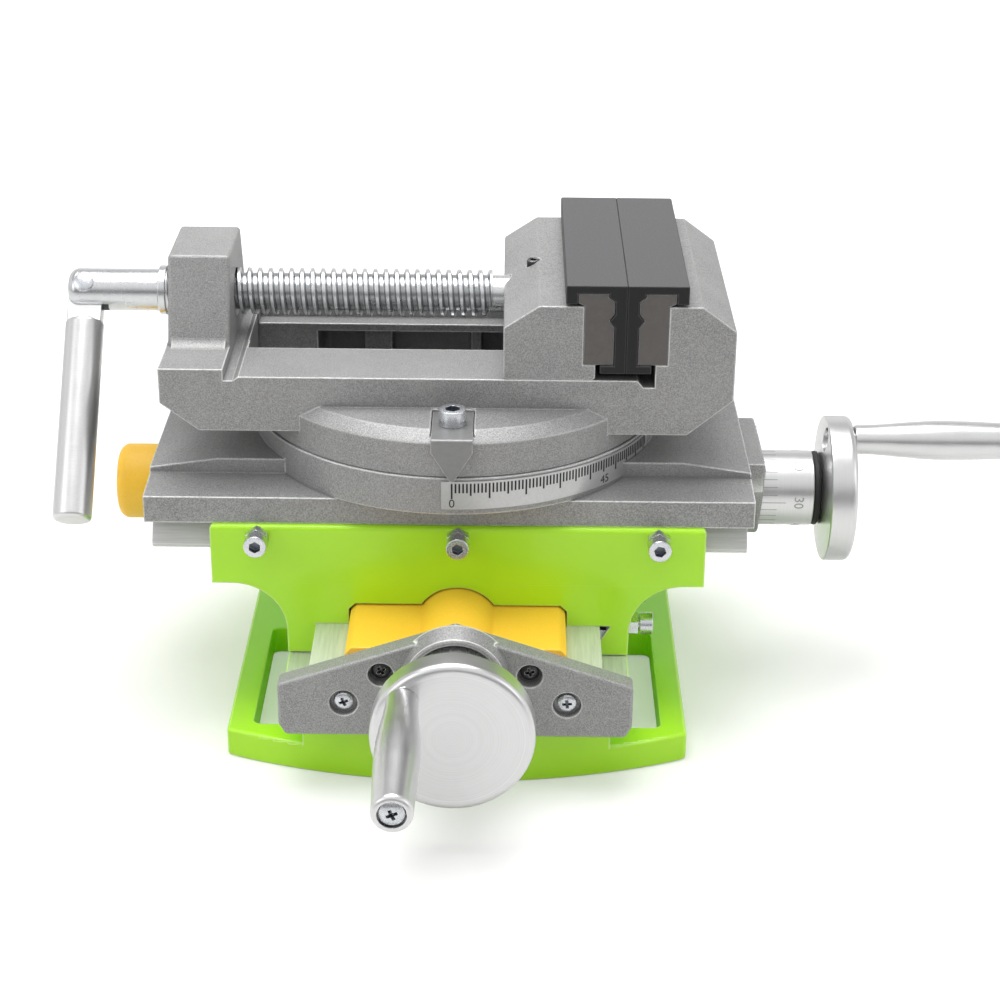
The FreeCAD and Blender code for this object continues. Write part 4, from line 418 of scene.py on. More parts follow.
def turned_steel(name, axis, centre, color=(0.76, 0.76, 0.765), roughness=0.31, rings=1.0, root=None):
    """Steel turned about an axis along X, Y or Z. Between two root radii a painted shade darkens a thread
    inwards.
    """
    material, tree, skin = surface(name, color, roughness, 1.0)
    along = [1.0 if a == axis else 0.0 for a in "XYZ"]
    across = [1.0 - v for v in along]
    radius = add(tree, "ShaderNodeVectorMath", operation="LENGTH")
    tree.links.new(here(tree, centre, across), radius.inputs[0])
    station = add(tree, "ShaderNodeVectorMath", operation="DOT_PRODUCT")
    tree.links.new(here(tree, centre), station.inputs[0])
    station.inputs[1].default_value = along
    mark = add(tree, "ShaderNodeCombineXYZ")
    tree.links.new(radius.outputs["Value"], mark.inputs[0])
    tree.links.new(station.outputs["Value"], mark.inputs[1])
    lines = grain(tree, mark.outputs[0], 2300, 3.0)
    clouds = grain(tree, here(tree), 160, 3.0)
    tone = mixed(tree, spread(tree, lines, 0.35, 0.65, 0, 1), tuple(c * 0.94 for c in color), color)
    tone = mixed(tree, spread(tree, clouds, 0.35, 0.65, 0, 0.10), tone, tuple(c * 0.80 for c in color))
    # Painted shade in a thread's grooves, darker towards the root.
    if root:
        deep = spread(tree, radius.outputs["Value"], root[1], root[0], 0.0, 0.60)
        tone = mixed(tree, deep, tone, (0.20, 0.215, 0.22))
    normal, wear_and_highlight = edges(tree, 0.0003)
    # Painted highlight and wear on the edges.
    bright = mixed(tree, spread(tree, wear_and_highlight, 0, 1, 0, 0.5), tone, EDGE_WEAR_AND_HIGHLIGHT)
    tree.links.new(bright, skin.inputs["Base Color"])
    gloss = spread(tree, clouds, 0.3, 0.7, roughness + 0.03, roughness - 0.02)
    tree.links.new(gloss, skin.inputs["Roughness"])
    tree.links.new(raised(tree, lines, 0.22 * rings, 0.00010, normal), skin.inputs["Normal"])
    return material


def plated_steel(name, color, roughness, mottle=0.22, metallic=1.0, edge=0.0003):
    material, tree, skin = surface(name, color, roughness, metallic)
    clouds = grain(tree, here(tree), 400, 3.0)
    fine = grain(tree, here(tree), 2600, 2.0)
    dull = tuple(c * (1 - mottle) for c in color)
    tone = mixed(tree, spread(tree, clouds, 0.35, 0.65, 0, 1), dull, color)
    normal, wear_and_highlight = edges(tree, edge)
    # Painted highlight and wear on the edges.
    bright = mixed(tree, spread(tree, wear_and_highlight, 0, 1, 0, 0.6), tone, EDGE_WEAR_AND_HIGHLIGHT)
    tree.links.new(bright, skin.inputs["Base Color"])
    gloss = spread(tree, fine, 0.3, 0.7, roughness + 0.08, roughness - 0.05)
    tree.links.new(gloss, skin.inputs["Roughness"])
    tree.links.new(raised(tree, fine, 0.10, 0.0001, normal), skin.inputs["Normal"])
    return material


Y_AXIS = Vector((0, -0.1096, 0.047))
X_AXIS = Vector((0.1137, 0, 0.0751))
VISE_AXIS = Vector((0, 0, 0.1553))
Y_STEEL = turned_steel("turned_about_y", "Y", Y_AXIS)
X_STEEL = turned_steel("turned_about_x", "X", X_AXIS)
SCREW_STEEL = turned_steel("vise_screw_steel", "X", VISE_AXIS, (0.74, 0.75, 0.765), 0.26, 0.3)
# The thread's grooves get painted shade towards their roots.
THREAD_STEEL = turned_steel("vise_thread_steel", "X", VISE_AXIS, (0.76, 0.77, 0.785), 0.28, 0.0,
                            (0.0070, 0.0088))
ZINC = plated_steel("zinc_fastener", (0.70, 0.72, 0.755), 0.26, 0.10)
# A dark grey for painted shade inside sockets and Phillips recesses.
RECESS_SHADE = plated_steel("shaded_recess", (0.24, 0.26, 0.30), 0.42, 0.2)
BLACK_OXIDE_AND_SHADE = plated_steel("black_oxide_and_shade_screw", (0.085, 0.085, 0.09), 0.38)
GROUND = plated_steel("ground_jaw_steel", (0.150, 0.142, 0.137), 0.42, 0.08)
SHEET = plated_steel("bent_sheet_steel", (0.27, 0.27, 0.27), 0.38, 0.08, 0.45, 0.0005)

# %% [markdown]
# ## Castings
# The seven castings keep the shapes of their solids. A copy of the solid's triangles is
# merged into one skin, flat faces are dissolved back into whole polygons, and the long hard
# edges get a narrow bevel, as a blasted casting has. Faces that a milling cutter has touched
# get the milled finish, chosen by where they are and which way they face.

# %% Copying a solid into a finished skin
FLATNESS = 2e-5
SHARP = math.radians(34.0)
TRIES = 9


def piece_from(bm, name, body, materials, replaced=(), smooth_deg=32.0):
    """Closes a bmesh into an object that rides on a body."""
    for edge in bm.edges:
        edge.smooth = len(edge.link_faces) == 2 and edge.calc_face_angle(0) < math.radians(smooth_deg)
    for face in bm.faces:
        face.smooth = True
    data = bpy.data.meshes.new(name)
    bm.to_mesh(data)
    bm.free()
    piece = bpy.data.objects.new(name, data)
    bpy.context.scene.collection.objects.link(piece)
    for material in materials:
        piece.data.materials.append(material)
    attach(piece, body)
    if replaced:
        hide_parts(*replaced)
    even = piece.modifiers.new("even_normals", "WEIGHTED_NORMAL")
    even.keep_sharp = True
    return piece


def spoilt_spots(bm):
    """Corners of faces that a bevel has bent or folded over."""
    bm.faces.index_update()
    drawn = [0.0] * len(bm.faces)
    for corners in bm.calc_loop_triangles():
        drawn[corners[0].face.index] += area_tri(*(c.vert.co for c in corners))
    spots = []
    for face in bm.faces:
        centre, normal = face.calc_center_median(), face.normal
        off = [v.co.copy() for v in face.verts if abs((v.co - centre).dot(normal)) > FLATNESS]
        if drawn[face.index] > face.calc_area() * 1.01 + 2e-8:
            off = [v.co.copy() for v in face.verts]
        spots += off
    return spots


def loose_edges(bm):
    return sum(1 for e in bm.edges if len(e.link_faces) != 2)


def skin_of(node, width):
    """The solid's own triangles as one clean mesh, hard edges bevelled where a bevel fits."""
    whole = bmesh.new()
    whole.from_mesh(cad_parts[node].data)
    bmesh.ops.remove_doubles(whole, verts=whole.verts, dist=2e-6)
    bmesh.ops.dissolve_limit(whole, angle_limit=math.radians(0.5), verts=whole.verts, edges=whole.edges,
                             use_dissolve_boundaries=False)
    whole.edges.index_update()
    hard = [e.index for e in whole.edges if len(e.link_faces) == 2 and e.calc_face_angle(0) > SHARP]
    for attempt in range(TRIES):
        bm = whole.copy()
        bm.edges.ensure_lookup_table()
        ends = {i: [v.co.copy() for v in bm.edges[i].verts] for i in hard}
        bmesh.ops.bevel(bm, geom=[bm.edges[i] for i in hard], offset=width, offset_type="OFFSET", segments=2,
                        profile=0.5, affect="EDGES", clamp_overlap=False, material=-1)
        spots = spoilt_spots(bm)
        near = [i for i in hard if any((s - e).length < width * 3 for e in ends[i] for s in spots)]
        if not near or attempt == TRIES - 1:
            break
        hard = [i for i in hard if i not in set(near)]
        bm.free()
    whole.free()
    bmesh.ops.remove_doubles(bm, verts=bm.verts, dist=2e-6)
    print(node, "faces", len(bm.faces), "bevelled", len(hard), "left bent", len(spots),
          "open", loose_edges(bm))
    return bm


def paint_faces(bm, rule):
    for face in bm.faces:
        centre = face.calc_center_median() / MM
        face.material_index = rule(centre, face.normal)


# %% [markdown]
# The base and the saddle are enamelled green all over, and then the bearing faces are milled
# bare: the dovetail and the flat ways on the base, and in the saddle the groove that runs on
# them and the groove for the upper slide. A face's centre, in millimetres, and its normal say
# which it is, so the two finishes meet exactly at the edges of the solid.

# %% Base and saddle
def base_faces(c, n):
    dovetail = abs(c.x) <= 54.2 and c.z > 33.5 and abs(c.y) < 99.0
    way = n.z > 0.9 and 33 < c.z < 35 and abs(c.y) < 99.4
    return 1 if dovetail or way else 0


def saddle_faces(c, n):
    roof = n.z < -0.9 and 46 < c.z < 48
    flank = abs(c.x) < 60 and 34.5 < c.z < 47 and abs(n.x) > 0.5
    upper_groove = 73 < c.z < 87.5 and abs(c.y) < 62 and (n.z > 0.9 or abs(n.y) > 0.5)
    return 1 if roof or flank or upper_groove else 0


for node, body, rule in (("base", "base", base_faces), ("saddle", "saddle", saddle_faces)):
    skin = skin_of(node, 0.0005)
    paint_faces(skin, rule)
    piece_from(skin, node + "_casting", body, (GREEN, MILLED_ALONG_Y), (node,))

# %% [markdown]
# The upper slide, the vise body, the movable jaw, the end plate and the bracket stay bare
# metal all over. Only the upper slide's dovetail tongue is milled, along its travel.

# %% Grey castings
TONGUE_TOP = 87.4
for node, body, width in (("x_slide", "table", 0.0004), ("vise_body", "vise", 0.0004),
                          ("movable_jaw", "movable_jaw", 0.0004), ("y_end_plate", "base", 0.0004),
                          ("x_end_bracket", "table", 0.0003)):
    skin = skin_of(node, width)
    finish = (CAST_GREY,)
    if node == "x_slide":
        paint_faces(skin, lambda c, n: 1 if c.z < TONGUE_TOP else 0)
        finish = (CAST_GREY, MILLED_ALONG_X)
    piece_from(skin, node + "_casting", body, finish, (node,))

# %% [markdown]
# ## Moulded covers, jaw plates and sheet pieces
# These also start from their solids. The moulded pieces get about the same narrow bevel as the
# castings, while the ground jaw plates and the bent pointer keep crisper edges.

# %% Covers and plates
for node, body, material, slot, width in (
        ("y_screw_cover", "base", AMBER, "amber_plastic", 0.0005),
        ("x_end_cap", "table", AMBER, "amber_plastic", 0.0004),
        ("fixed_jaw_cover", "vise", DARK, "dark_cover", 0.0004),
        ("movable_jaw_cover", "movable_jaw", DARK, "dark_cover", 0.0004),
        ("fixed_jaw_plate", "vise", GROUND, "plate_steel", 0.0002),
        ("movable_jaw_plate", "movable_jaw", GROUND, "plate_steel", 0.0002),
        ("pointer", "vise", SHEET, "bright_steel", 0.0002)):
    piece_from(skin_of(node, width), node + "_shell", body, (material,), (node,))

# %% [markdown]
# Pieces that the castings hide wholly or in part, such as the nuts, the gibs and the swivel's
# T-nuts, keep their solids and only get their finish.

# %% Finish on the hidden solids
HIDDEN = {
    "y_nut": BRONZE, "x_nut": BRONZE, "x_gib": ZINC, "y_gib": ZINC, "swivel_pivot": ZINC,
    "swivel_t_nuts": ZINC, "jaw_keeper": ZINC, "keeper_screws": ZINC,
    "fixed_plate_screws": ZINC, "movable_plate_screws": ZINC, "rear_washer": ZINC,
}
for node, material in HIDDEN.items():
    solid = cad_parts[node]
    solid.data.materials.clear()
    solid.data.materials.append(material)
print("hidden solids finished:", len(HIDDEN))

# %% [markdown]
# ## Turned pieces
# A lathe makes a shape by turning an outline about an axis, and bmesh's spin does the same.
# Each outline is a few vertices joined by edges: distance along the axis and radius. It is
# spun once round, merged where it meets itself, and carried to its place on the machine.

# %% Lathe helper
def chain(bm, points, closed=False):
    """Edges through points given as (along the axis, radius), drawn in the XZ plane."""
    verts = [bm.verts.new((r * MM, 0, a * MM)) for a, r in points]
    links = [bm.edges.new(pair) for pair in zip(verts, verts[1:])]
    if closed:
        links.append(bm.edges.new((verts[-1], verts[0])))
    return verts, links


def lathe(points, steps=72, closed=False):
    bm = bmesh.new()
    verts, links = chain(bm, points, closed)
    bmesh.ops.spin(bm, geom=verts + links, cent=(0, 0, 0), axis=(0, 0, 1), angle=math.tau,
                   steps=steps, use_merge=True)
    bmesh.ops.remove_doubles(bm, verts=bm.verts, dist=1e-6)
    bmesh.ops.recalc_face_normals(bm, faces=bm.faces)
    return bm


def dome(base, height, radius, steps):
    """The outline of a domed end after its rim, up to the middle."""
    angles = [math.pi / 2 * i / steps for i in range(1, steps)]
    return [(base + height * math.sin(t), radius * math.cos(t)) for t in angles] + [(base + height, 0)]


def quarter(a0, r0, a1, r1, count, outward=True):
    """A rounded corner between two points of an outline, as extra points."""
    points = []
    for i in range(count + 1):
        t = math.pi / 2 * i / count
        if outward:
            points.append((a0 + (a1 - a0) * (1 - math.cos(t)), r0 + (r1 - r0) * math.sin(t)))
        else:
            points.append((a0 + (a1 - a0) * math.sin(t), r0 + (r1 - r0) * (1 - math.cos(t))))
    return points


# %% [markdown]
# Turned pieces are drawn standing on local Z and only then laid on the machine. Holes and
# recesses are cut by the exact Boolean solver, and the faces that a cutter has left can take
# a darker second material, a painted shade for the inside of a recess.

# %% Placing and cutting
def turn(bm, angle, verts=None):
    """Turns a shape, or some of its vertices, about local Z."""
    bmesh.ops.rotate(bm, verts=verts or bm.verts, cent=(0, 0, 0), matrix=Matrix.Rotation(angle, 3, "Z"))


def move(bm, x=0.0, y=0.0, z=0.0, verts=None):
    """Moves a shape, or some of its vertices, by millimetres."""
    bmesh.ops.translate(bm, verts=verts or bm.verts, vec=(x * MM, y * MM, z * MM))


def trim(bm, at, outward):
    """Cuts away what lies beyond a plane through a point in metres."""
    bmesh.ops.bisect_plane(bm, geom=bm.verts[:] + bm.edges[:] + bm.faces[:], plane_co=at,
                           plane_no=outward, clear_outer=True)


def stand(origin, side, up_dir, axis):
    """Matrix that lays the local axes on the machine: X on side, Y on up, Z on the axis."""
    side, up_dir, axis = Vector(side), Vector(up_dir), Vector(axis)
    return Matrix.Translation(origin) @ Matrix((side, up_dir, axis)).transposed().to_4x4()


Y_PLACE = stand(Y_AXIS, (1, 0, 0), (0, 0, 1), (0, -1, 0))
X_PLACE = stand(X_AXIS, (0, 1, 0), (0, 0, 1), (1, 0, 0))


def carve(bm, cutters, shaded=False):
    """Cuts closed shapes out of a bmesh. Shaded cuts get material 1, for painted shade inside a recess."""
    walls = [BVHTree.FromBMesh(cutter) for cutter in cutters] if shaded else []
    data = bpy.data.meshes.new("blank")
    bm.to_mesh(data)
    bm.free()
    blank = bpy.data.objects.new("blank", data)
    bpy.context.scene.collection.objects.link(blank)
    helpers = []
    for cutter in cutters:
        shape = bpy.data.meshes.new("cutter")
        cutter.to_mesh(shape)
        cutter.free()
        tool = bpy.data.objects.new("cutter", shape)
        bpy.context.scene.collection.objects.link(tool)
        helpers.append(tool)
        cut = blank.modifiers.new("cut", "BOOLEAN")
        cut.operation = "DIFFERENCE"
        cut.solver = "EXACT"
        cut.object = tool
    bpy.context.view_layer.update()
    result = bmesh.new()
    result.from_mesh(blank.evaluated_get(bpy.context.evaluated_depsgraph_get()).data)
    for leftover in helpers + [blank]:
        shape = leftover.data
        bpy.data.objects.remove(leftover)
        bpy.data.meshes.remove(shape)
    bmesh.ops.remove_doubles(result, verts=result.verts, dist=1e-6)
    for face in result.faces:
        centre = face.calc_center_median()
        # Faces left by a shaded cut take material 1, the painted shade.
        face.material_index = int(any(wall.find_nearest(centre)[3] < 2e-6 for wall in walls))
    return result


def plug(radius, a0, a1, x=0.0, y=0.0, sides=32):
    """A straight round or many-sided cutter along local Z, in millimetres."""
    bm = bmesh.new()
    bmesh.ops.create_cone(bm, cap_ends=True, segments=sides, radius1=radius * MM, radius2=radius * MM,
                          depth=(a1 - a0) * MM)
    move(bm, x, y, (a0 + a1) / 2)
    return bm


# %% [markdown]
# ### Handwheels, dials, rings and grips
# Both feeds share one set of turned parts. The wheel is a solid disc with a rounded front rim
# and a coned back, the dial is a plain barrel with engraved marks, and a rubber ring between
# them brakes the dial. The grip swells from a narrow waist and turns on its own bolt.

# %% Handwheel, dial and ring outlines
WHEEL_BACK = 29.4
WHEEL_FRONT = WHEEL_BACK + 10.4
BARREL_R = 14.8
CRANK_ARM = 22.5
WHEEL = ([(WHEEL_BACK - 2.1, 0), (WHEEL_BACK - 2.1, 13.2), (WHEEL_BACK - 1.8, 13.5), (WHEEL_BACK, 26.2)]
         + quarter(WHEEL_BACK, 27.9, WHEEL_BACK + 0.8, 28.7, 3)
         + [(WHEEL_FRONT - 2.6, 28.7)]
         + quarter(WHEEL_FRONT - 2.4, 28.7, WHEEL_FRONT, 26.1, 6, outward=False)
         + [(WHEEL_FRONT, 25.2), (WHEEL_FRONT - 0.12, 24.8), (WHEEL_FRONT - 0.12, 0)])
DIAL = ([(0.3, 0)] + quarter(0.3, 14.2, 0.9, BARREL_R, 3) + [(24.1, BARREL_R)]
        + quarter(24.1, BARREL_R, 24.7, 14.2, 3, outward=False) + [(24.7, 0)])
RING = [(24.72, 5.2), (24.72, 13.9), (25.1, 14.45), (26.0, 14.7), (26.9, 14.45), (27.28, 13.9),
        (27.28, 5.2)]


def crank_spot(crank_deg):
    a = math.radians(crank_deg)
    return CRANK_ARM * math.cos(a), CRANK_ARM * math.sin(a)


# %% [markdown]
# Nuts and recesses are the same few cuts everywhere. A nut is a six-sided plug with its edges
# broken and a round hole. A Phillips recess is two crossed four-sided cones, squeezed flat.

# %% Nuts and Phillips recesses
def plain_nut(flat, height, bore):
    """Hexagon nut on local Z with a corner on its X axis, edges broken."""
    nut = plug(flat / math.sqrt(3), 0, height, sides=6)
    corners = [e for e in nut.edges if abs(e.verts[0].co.z - e.verts[1].co.z) < 1e-9]
    bmesh.ops.bevel(nut, geom=corners, offset=0.35 * MM, offset_type="OFFSET", segments=2, profile=0.5,
                    affect="EDGES", clamp_overlap=True, material=-1)
    return carve(nut, [plug(bore, -1, height + 1)])


def cross_cutters(angle, size, tip, mouth):
    """The two tapered bars of a Phillips recess, from its tip to its mouth, in millimetres."""
    bars = []
    for quarter_turn in (0, math.pi / 2):
        bar = bmesh.new()
        bmesh.ops.create_cone(bar, cap_ends=True, segments=4, radius1=size * 0.45 * MM, radius2=size * MM,
                              depth=(mouth - tip) * MM)
        turn(bar, math.pi / 4)
        bmesh.ops.scale(bar, verts=bar.verts, vec=(1, 0.30, 1))
        turn(bar, angle + quarter_turn)
        move(bar, z=(tip + mouth) / 2)
        bars.append(bar)
    return bars


# %% [markdown]
# Marks are thin bars that stand on a barrel, and figures are flat lettering with a little
# depth that is bent round it. Both are meshes, so they turn with their dial.

# %% Marks and figures
def tick(bm, size, place, angle):
    """One thin bar on a barrel about local Z, in millimetres, turned to its place."""
    bar = bmesh.ops.create_cube(bm, size=1.0)["verts"]
    bmesh.ops.scale(bm, verts=bar, vec=[v * MM for v in size])
    move(bm, *place, verts=bar)
    turn(bm, angle, bar)


def mark_finish(name, dark, light, metallic=0.0):
    material, tree, skin = surface(name, dark, 0.5, metallic)
    fine = grain(tree, here(tree), 1500, 2.0)
    tree.links.new(mixed(tree, fine, dark, light), skin.inputs["Base Color"])
    return material


INK = mark_finish("printed_ink", (0.008, 0.008, 0.008), (0.022, 0.022, 0.022))
ENGRAVED = mark_finish("engraved_line", (0.30, 0.30, 0.30), (0.42, 0.42, 0.42), 0.5)


def lettering(text, height, thickness=0.05):
    """A flat number as a closed mesh in the XY plane, centred, in metres."""
    curve = bpy.data.curves.new("number", "FONT")
    curve.body = text
    curve.size = height * MM * 1.38
    curve.align_x = "CENTER"
    curve.align_y = "CENTER"
    curve.extrude = thickness * MM
    curve.resolution_u = 4
    words = bpy.data.objects.new("number", curve)
    bpy.context.scene.collection.objects.link(words)
    bpy.context.view_layer.update()
    flat = bpy.data.meshes.new_from_object(words.evaluated_get(bpy.context.evaluated_depsgraph_get()))
    bm = bmesh.new()
    bm.from_mesh(flat)
    bpy.data.objects.remove(words)
    bpy.data.curves.remove(curve)
    bpy.data.meshes.remove(flat)
    bmesh.ops.remove_doubles(bm, verts=bm.verts, dist=1e-7)
    return bm


def wrap(bm, radius, around_deg, station):
    """Bends flat lettering round a barrel about local Z, so that it reads round it."""
    for vert in bm.verts:
        x, y, z = vert.co
        angle = x / (radius * MM) + math.radians(around_deg)
        r = radius * MM + z
        vert.co = (r * math.cos(angle), r * math.sin(angle), station * MM + y)
    return bm


def join(first, *others):
    """Adds the other bmeshes' shapes to the first."""
    for other in others:
        data = bpy.data.meshes.new("part")
        other.to_mesh(data)
        other.free()
        first.from_mesh(data)
        bpy.data.meshes.remove(data)
    return first


# %% [markdown]
# Each feed is then one pass of a loop: the wheel with the stepped hole for its grip bolt, the
# dial with thirty marks and a figure at every fifth, and the rubber ring. The two differ only
# in their axis and in the angle, in degrees, at which the crank stands in the photograph.

# %% Both feed trains
FEEDS = (("y", Y_PLACE, Y_STEEL, 139.0), ("x", X_PLACE, X_STEEL, 97.7))
DIAL_MARKS, MARKS_START = 30, 0.9
FIGURE_H, FIGURES_AT = 3.8, 18.4
for key, place, steel, crank_deg in FEEDS:
    px, py = crank_spot(crank_deg)
    wheel = carve(lathe(WHEEL, 128), [plug(4.7, WHEEL_BACK - 3, WHEEL_BACK + 3.8, px, py),
                                      plug(3.05, WHEEL_BACK - 3, WHEEL_FRONT + 1, px, py)])
    wheel.transform(place)
    piece_from(wheel, key + "_wheel_turned", key + "_screw", (steel,),
               (key + "_handwheel",), 25)

    dial = lathe(DIAL, 96)
    dial.transform(place)
    piece_from(dial, key + "_dial_barrel", key + "_dial", (steel,), (key + "_dial",))
    marks = bmesh.new()
    for i in range(DIAL_MARKS):
        length = 12.6 if i % 5 == 0 else 9.2
        middle = MARKS_START + length / 2
        tick(marks, (0.06, 0.28, length), (BARREL_R, 0, middle), math.tau * i / DIAL_MARKS)
    numbers = [wrap(lettering(str(10 * k), FIGURE_H), BARREL_R, 60 * k, FIGURES_AT) for k in range(6)]
    marks = join(marks, *numbers)
    marks.transform(place)
    piece_from(marks, key + "_dial_marks", key + "_dial", (ENGRAVED,), (), 40)

    ring = lathe(RING, 72, closed=True)
    ring.transform(place)
    piece_from(ring, key + "_dial_brake", key + "_screw", (RUBBER_AND_SHADE,),
               (key + "_wheel_ring",), 60)
    print(key, "feed: crank at", round(px, 2), round(py, 2))

# %% [markdown]
# The grip is one smooth curve from waist to belly to end, so its outline is sampled from a
# cosine swell instead of straight steps. The bolt's domed head sits in the grip's end, with a
# Phillips recess cut by two crossed, tapered bars.

# %% Grips and their bolts
GRIP_LENGTH = 69.7
GRIP_START = WHEEL_FRONT + 0.3
GRIP_END = GRIP_START + GRIP_LENGTH
NUT_AT = WHEEL_BACK + 1.2


def grip_radius(t):
    """Radius of the grip at a share of its length: waist, belly at half way, fuller end."""
    if t < 0.5:
        return 5.7 + 2.0 * (1 - math.cos(math.pi * min(1, t / 0.5))) / 2
    return 7.7 - 0.8 * (1 - math.cos(math.pi * (t - 0.5) / 0.5)) / 2


for key, place, steel, crank_deg in FEEDS:
    px, py = crank_spot(crank_deg)
    to_crank = Matrix.Translation((px * MM, py * MM, 0))
    outline = [(GRIP_START, 3.05), (GRIP_START, 5.3), (GRIP_START + 0.4, 5.7)]
    shares = [0.03 + 0.94 * i / 28 for i in range(29)]
    outline += [(GRIP_START + GRIP_LENGTH * t, grip_radius(t)) for t in shares]
    outline += quarter(GRIP_END - 1.9, grip_radius(0.98), GRIP_END, 5.2, 5, outward=False)
    outline += [(GRIP_END, 4.8), (GRIP_END - 2.6, 4.7), (GRIP_END - 2.6, 3.05), (GRIP_START, 3.05)]
    grip = lathe(outline, 72)
    grip.transform(place @ to_crank)
    piece_from(grip, key + "_grip_barrel", key + "_grip", (steel,), (key + "_grip",), 30)

    bolt = [(NUT_AT, 0), (NUT_AT, 2.2), (NUT_AT + 0.4, 2.6), (NUT_AT + 2.6, 2.6), (NUT_AT + 2.6, 3.0),
            (GRIP_END - 2.55, 3.0), (GRIP_END - 2.55, 4.4), (GRIP_END - 1.3, 4.4)]
    bolt += dome(GRIP_END - 1.3, 1.3, 4.4, 5)
    pin = carve(lathe(bolt, 40), cross_cutters(0.4, 3.2, GRIP_END - 2.0, GRIP_END + 0.4), shaded=True)
    nut = plain_nut(7.6, 2.6, 2.65)
    move(nut, z=NUT_AT)
    pin = join(pin, nut)
    pin.transform(place @ to_crank)
    piece_from(pin, key + "_grip_pin", key + "_screw", (ZINC, RECESS_SHADE),
               (key + "_grip_bolt",), 30)

# %% [markdown]
# ## Screws with real threads
# A thread is an outline one pitch long that turns and climbs at the same time. bmesh's spin
# takes a climb for each step, so the outline of one ridge, spun for as many turns as the
# screw has, closes up with itself. The two ragged ends are then cut square and filled.

# %% Thread helper
RIDGE = [(0.00, 0.45), (0.05, 0.10), (0.09, 0), (0.36, 0), (0.40, 0.10), (0.45, 0.45),
         (0.52, 0.92), (0.56, 1), (0.89, 1), (0.93, 0.92), (1.00, 0.45)]


def threaded(radius, depth, pitch, a0, a1, steps):
    """A thread along local Z. RIDGE gives its outline as shares of the pitch and of the depth."""
    bm = bmesh.new()
    ridge = [(share, radius - deep * depth) for share, deep in RIDGE]
    turns = math.ceil((a1 - a0) / pitch) + 2
    verts, links = chain(bm, [(a0 - pitch * 1.5 + t * pitch, r) for t, r in ridge])
    bmesh.ops.spin(bm, geom=verts + links, cent=(0, 0, 0), axis=(0, 0, 1), dvec=(0, 0, pitch * MM / steps),
                   angle=math.tau * turns, steps=steps * turns)
    bmesh.ops.remove_doubles(bm, verts=bm.verts, dist=2e-6)
    for place_a, way in ((a0, -1), (a1, 1)):
        trim(bm, (0, 0, place_a * MM), (0, 0, way))
        rim = [e for e in bm.edges if len(e.link_faces) == 1 and abs(e.verts[0].co.z - place_a * MM) < 1e-6
               and abs(e.verts[1].co.z - place_a * MM) < 1e-6]
        bmesh.ops.holes_fill(bm, edges=rim, sides=0)
    bmesh.ops.recalc_face_normals(bm, faces=bm.faces)
    return bm


# %% [markdown]
# The two feed screws are 12 mm in diameter with 2 mm to a turn, and run from inside the slide
# to a shoulder behind the end plate. A thinner neck carries the dial and the wheel.

# %% Feed screws
THREAD_ENDS = {"y": (-205.1, -10.4), "x": (-225.6, -4.8)}
for key, place, steel, _ in FEEDS:
    a0, shoulder = THREAD_ENDS[key]
    thread = threaded(6.0, 0.9, 2.0, a0, shoulder, 20)
    neck = lathe([(shoulder - 1, 0), (shoulder - 1, 5.0), (WHEEL_BACK - 2.1, 5.0), (WHEEL_BACK - 2.1, 4.0),
                  (WHEEL_FRONT - 0.5, 4.0), (WHEEL_FRONT - 0.5, 0)], 48)
    open_edges = loose_edges(thread)
    rod = join(thread, neck)
    rod.transform(place)
    piece_from(rod, key + "_feed_screw", key + "_screw", (steel,), (key + "_lead_screw",), 40)
    print(key, "feed screw open edges", open_edges)

# %% [markdown]
# ## Vise screw and folding handle
# The big screw has a coarse thread of 4 mm pitch with flat crests between the post and the
# jaw, a collar in front of the post, and a forked end. The handle's flat tab turns in the fork
# on a riveted pin, so that it can hang down out of the way. The local Z of the screw runs from
# its forked end to the jaw, and the tab's flat faces are square to the tilted pin.

# %% Vise screw
SCREW_PLACE = stand(VISE_AXIS, (0, 1, 0), (0, 0, 1), (1, 0, 0))
TILT = math.radians(41.0)
PIN_X = -143.5
SHAFT_LEFT = PIN_X - 6.5
COLLAR = -112.4
SLOT_WIDE, SLOT_LONG, SLOT_PAST_PIN = 6.4, 16.5, 9.0
thread = threaded(9.0, 2.0, 4.0, COLLAR - 0.5, 11.5, 36)
print("vise screw open edges", loose_edges(thread))
shaft = lathe([(SHAFT_LEFT, 0), (SHAFT_LEFT, 4.5), (SHAFT_LEFT + 0.4, 5.8), (SHAFT_LEFT + 1.3, 7.0),
               (SHAFT_LEFT + 2.4, 7.7), (SHAFT_LEFT + 3.5, 8.0), (COLLAR - 3, 8.0), (COLLAR - 3, 9.1),
               (COLLAR - 2.7, 9.4), (COLLAR - 0.3, 9.4), (COLLAR, 9.1), (COLLAR, 0)], 64)
slot = bmesh.new()
bmesh.ops.create_cube(slot, size=1.0)
bmesh.ops.scale(slot, verts=slot.verts, vec=(SLOT_WIDE * MM, 24 * MM, SLOT_LONG * MM))
move(slot, z=PIN_X + SLOT_PAST_PIN - SLOT_LONG / 2)
turn(slot, -TILT)
shaft = carve(shaft, [slot])
neck = lathe([(10.5, 0), (10.5, 7.0), (24.1, 7.0), (24.1, 4.8), (29.9, 4.8), (29.9, 7.0), (34.4, 7.0),
              (35.0, 6.4), (35.0, 0)], 48)
for face in thread.faces:
    face.material_index = 1
screw = join(shaft, thread, neck)
screw.transform(SCREW_PLACE)
piece_from(screw, "vise_screw_threaded", "vise_screw", (SCREW_STEEL, THREAD_STEEL),
           ("vise_screw",), 35)

# %% [markdown]
# The pin is a rivet with two domed heads, tilted as the fork is. The handle is a plain bar
# with a flat tab. The tab starts as a short round cone of equal ends, which is halved, and
# the cut face is extruded into the bar, so that its free end stays round about the pin.

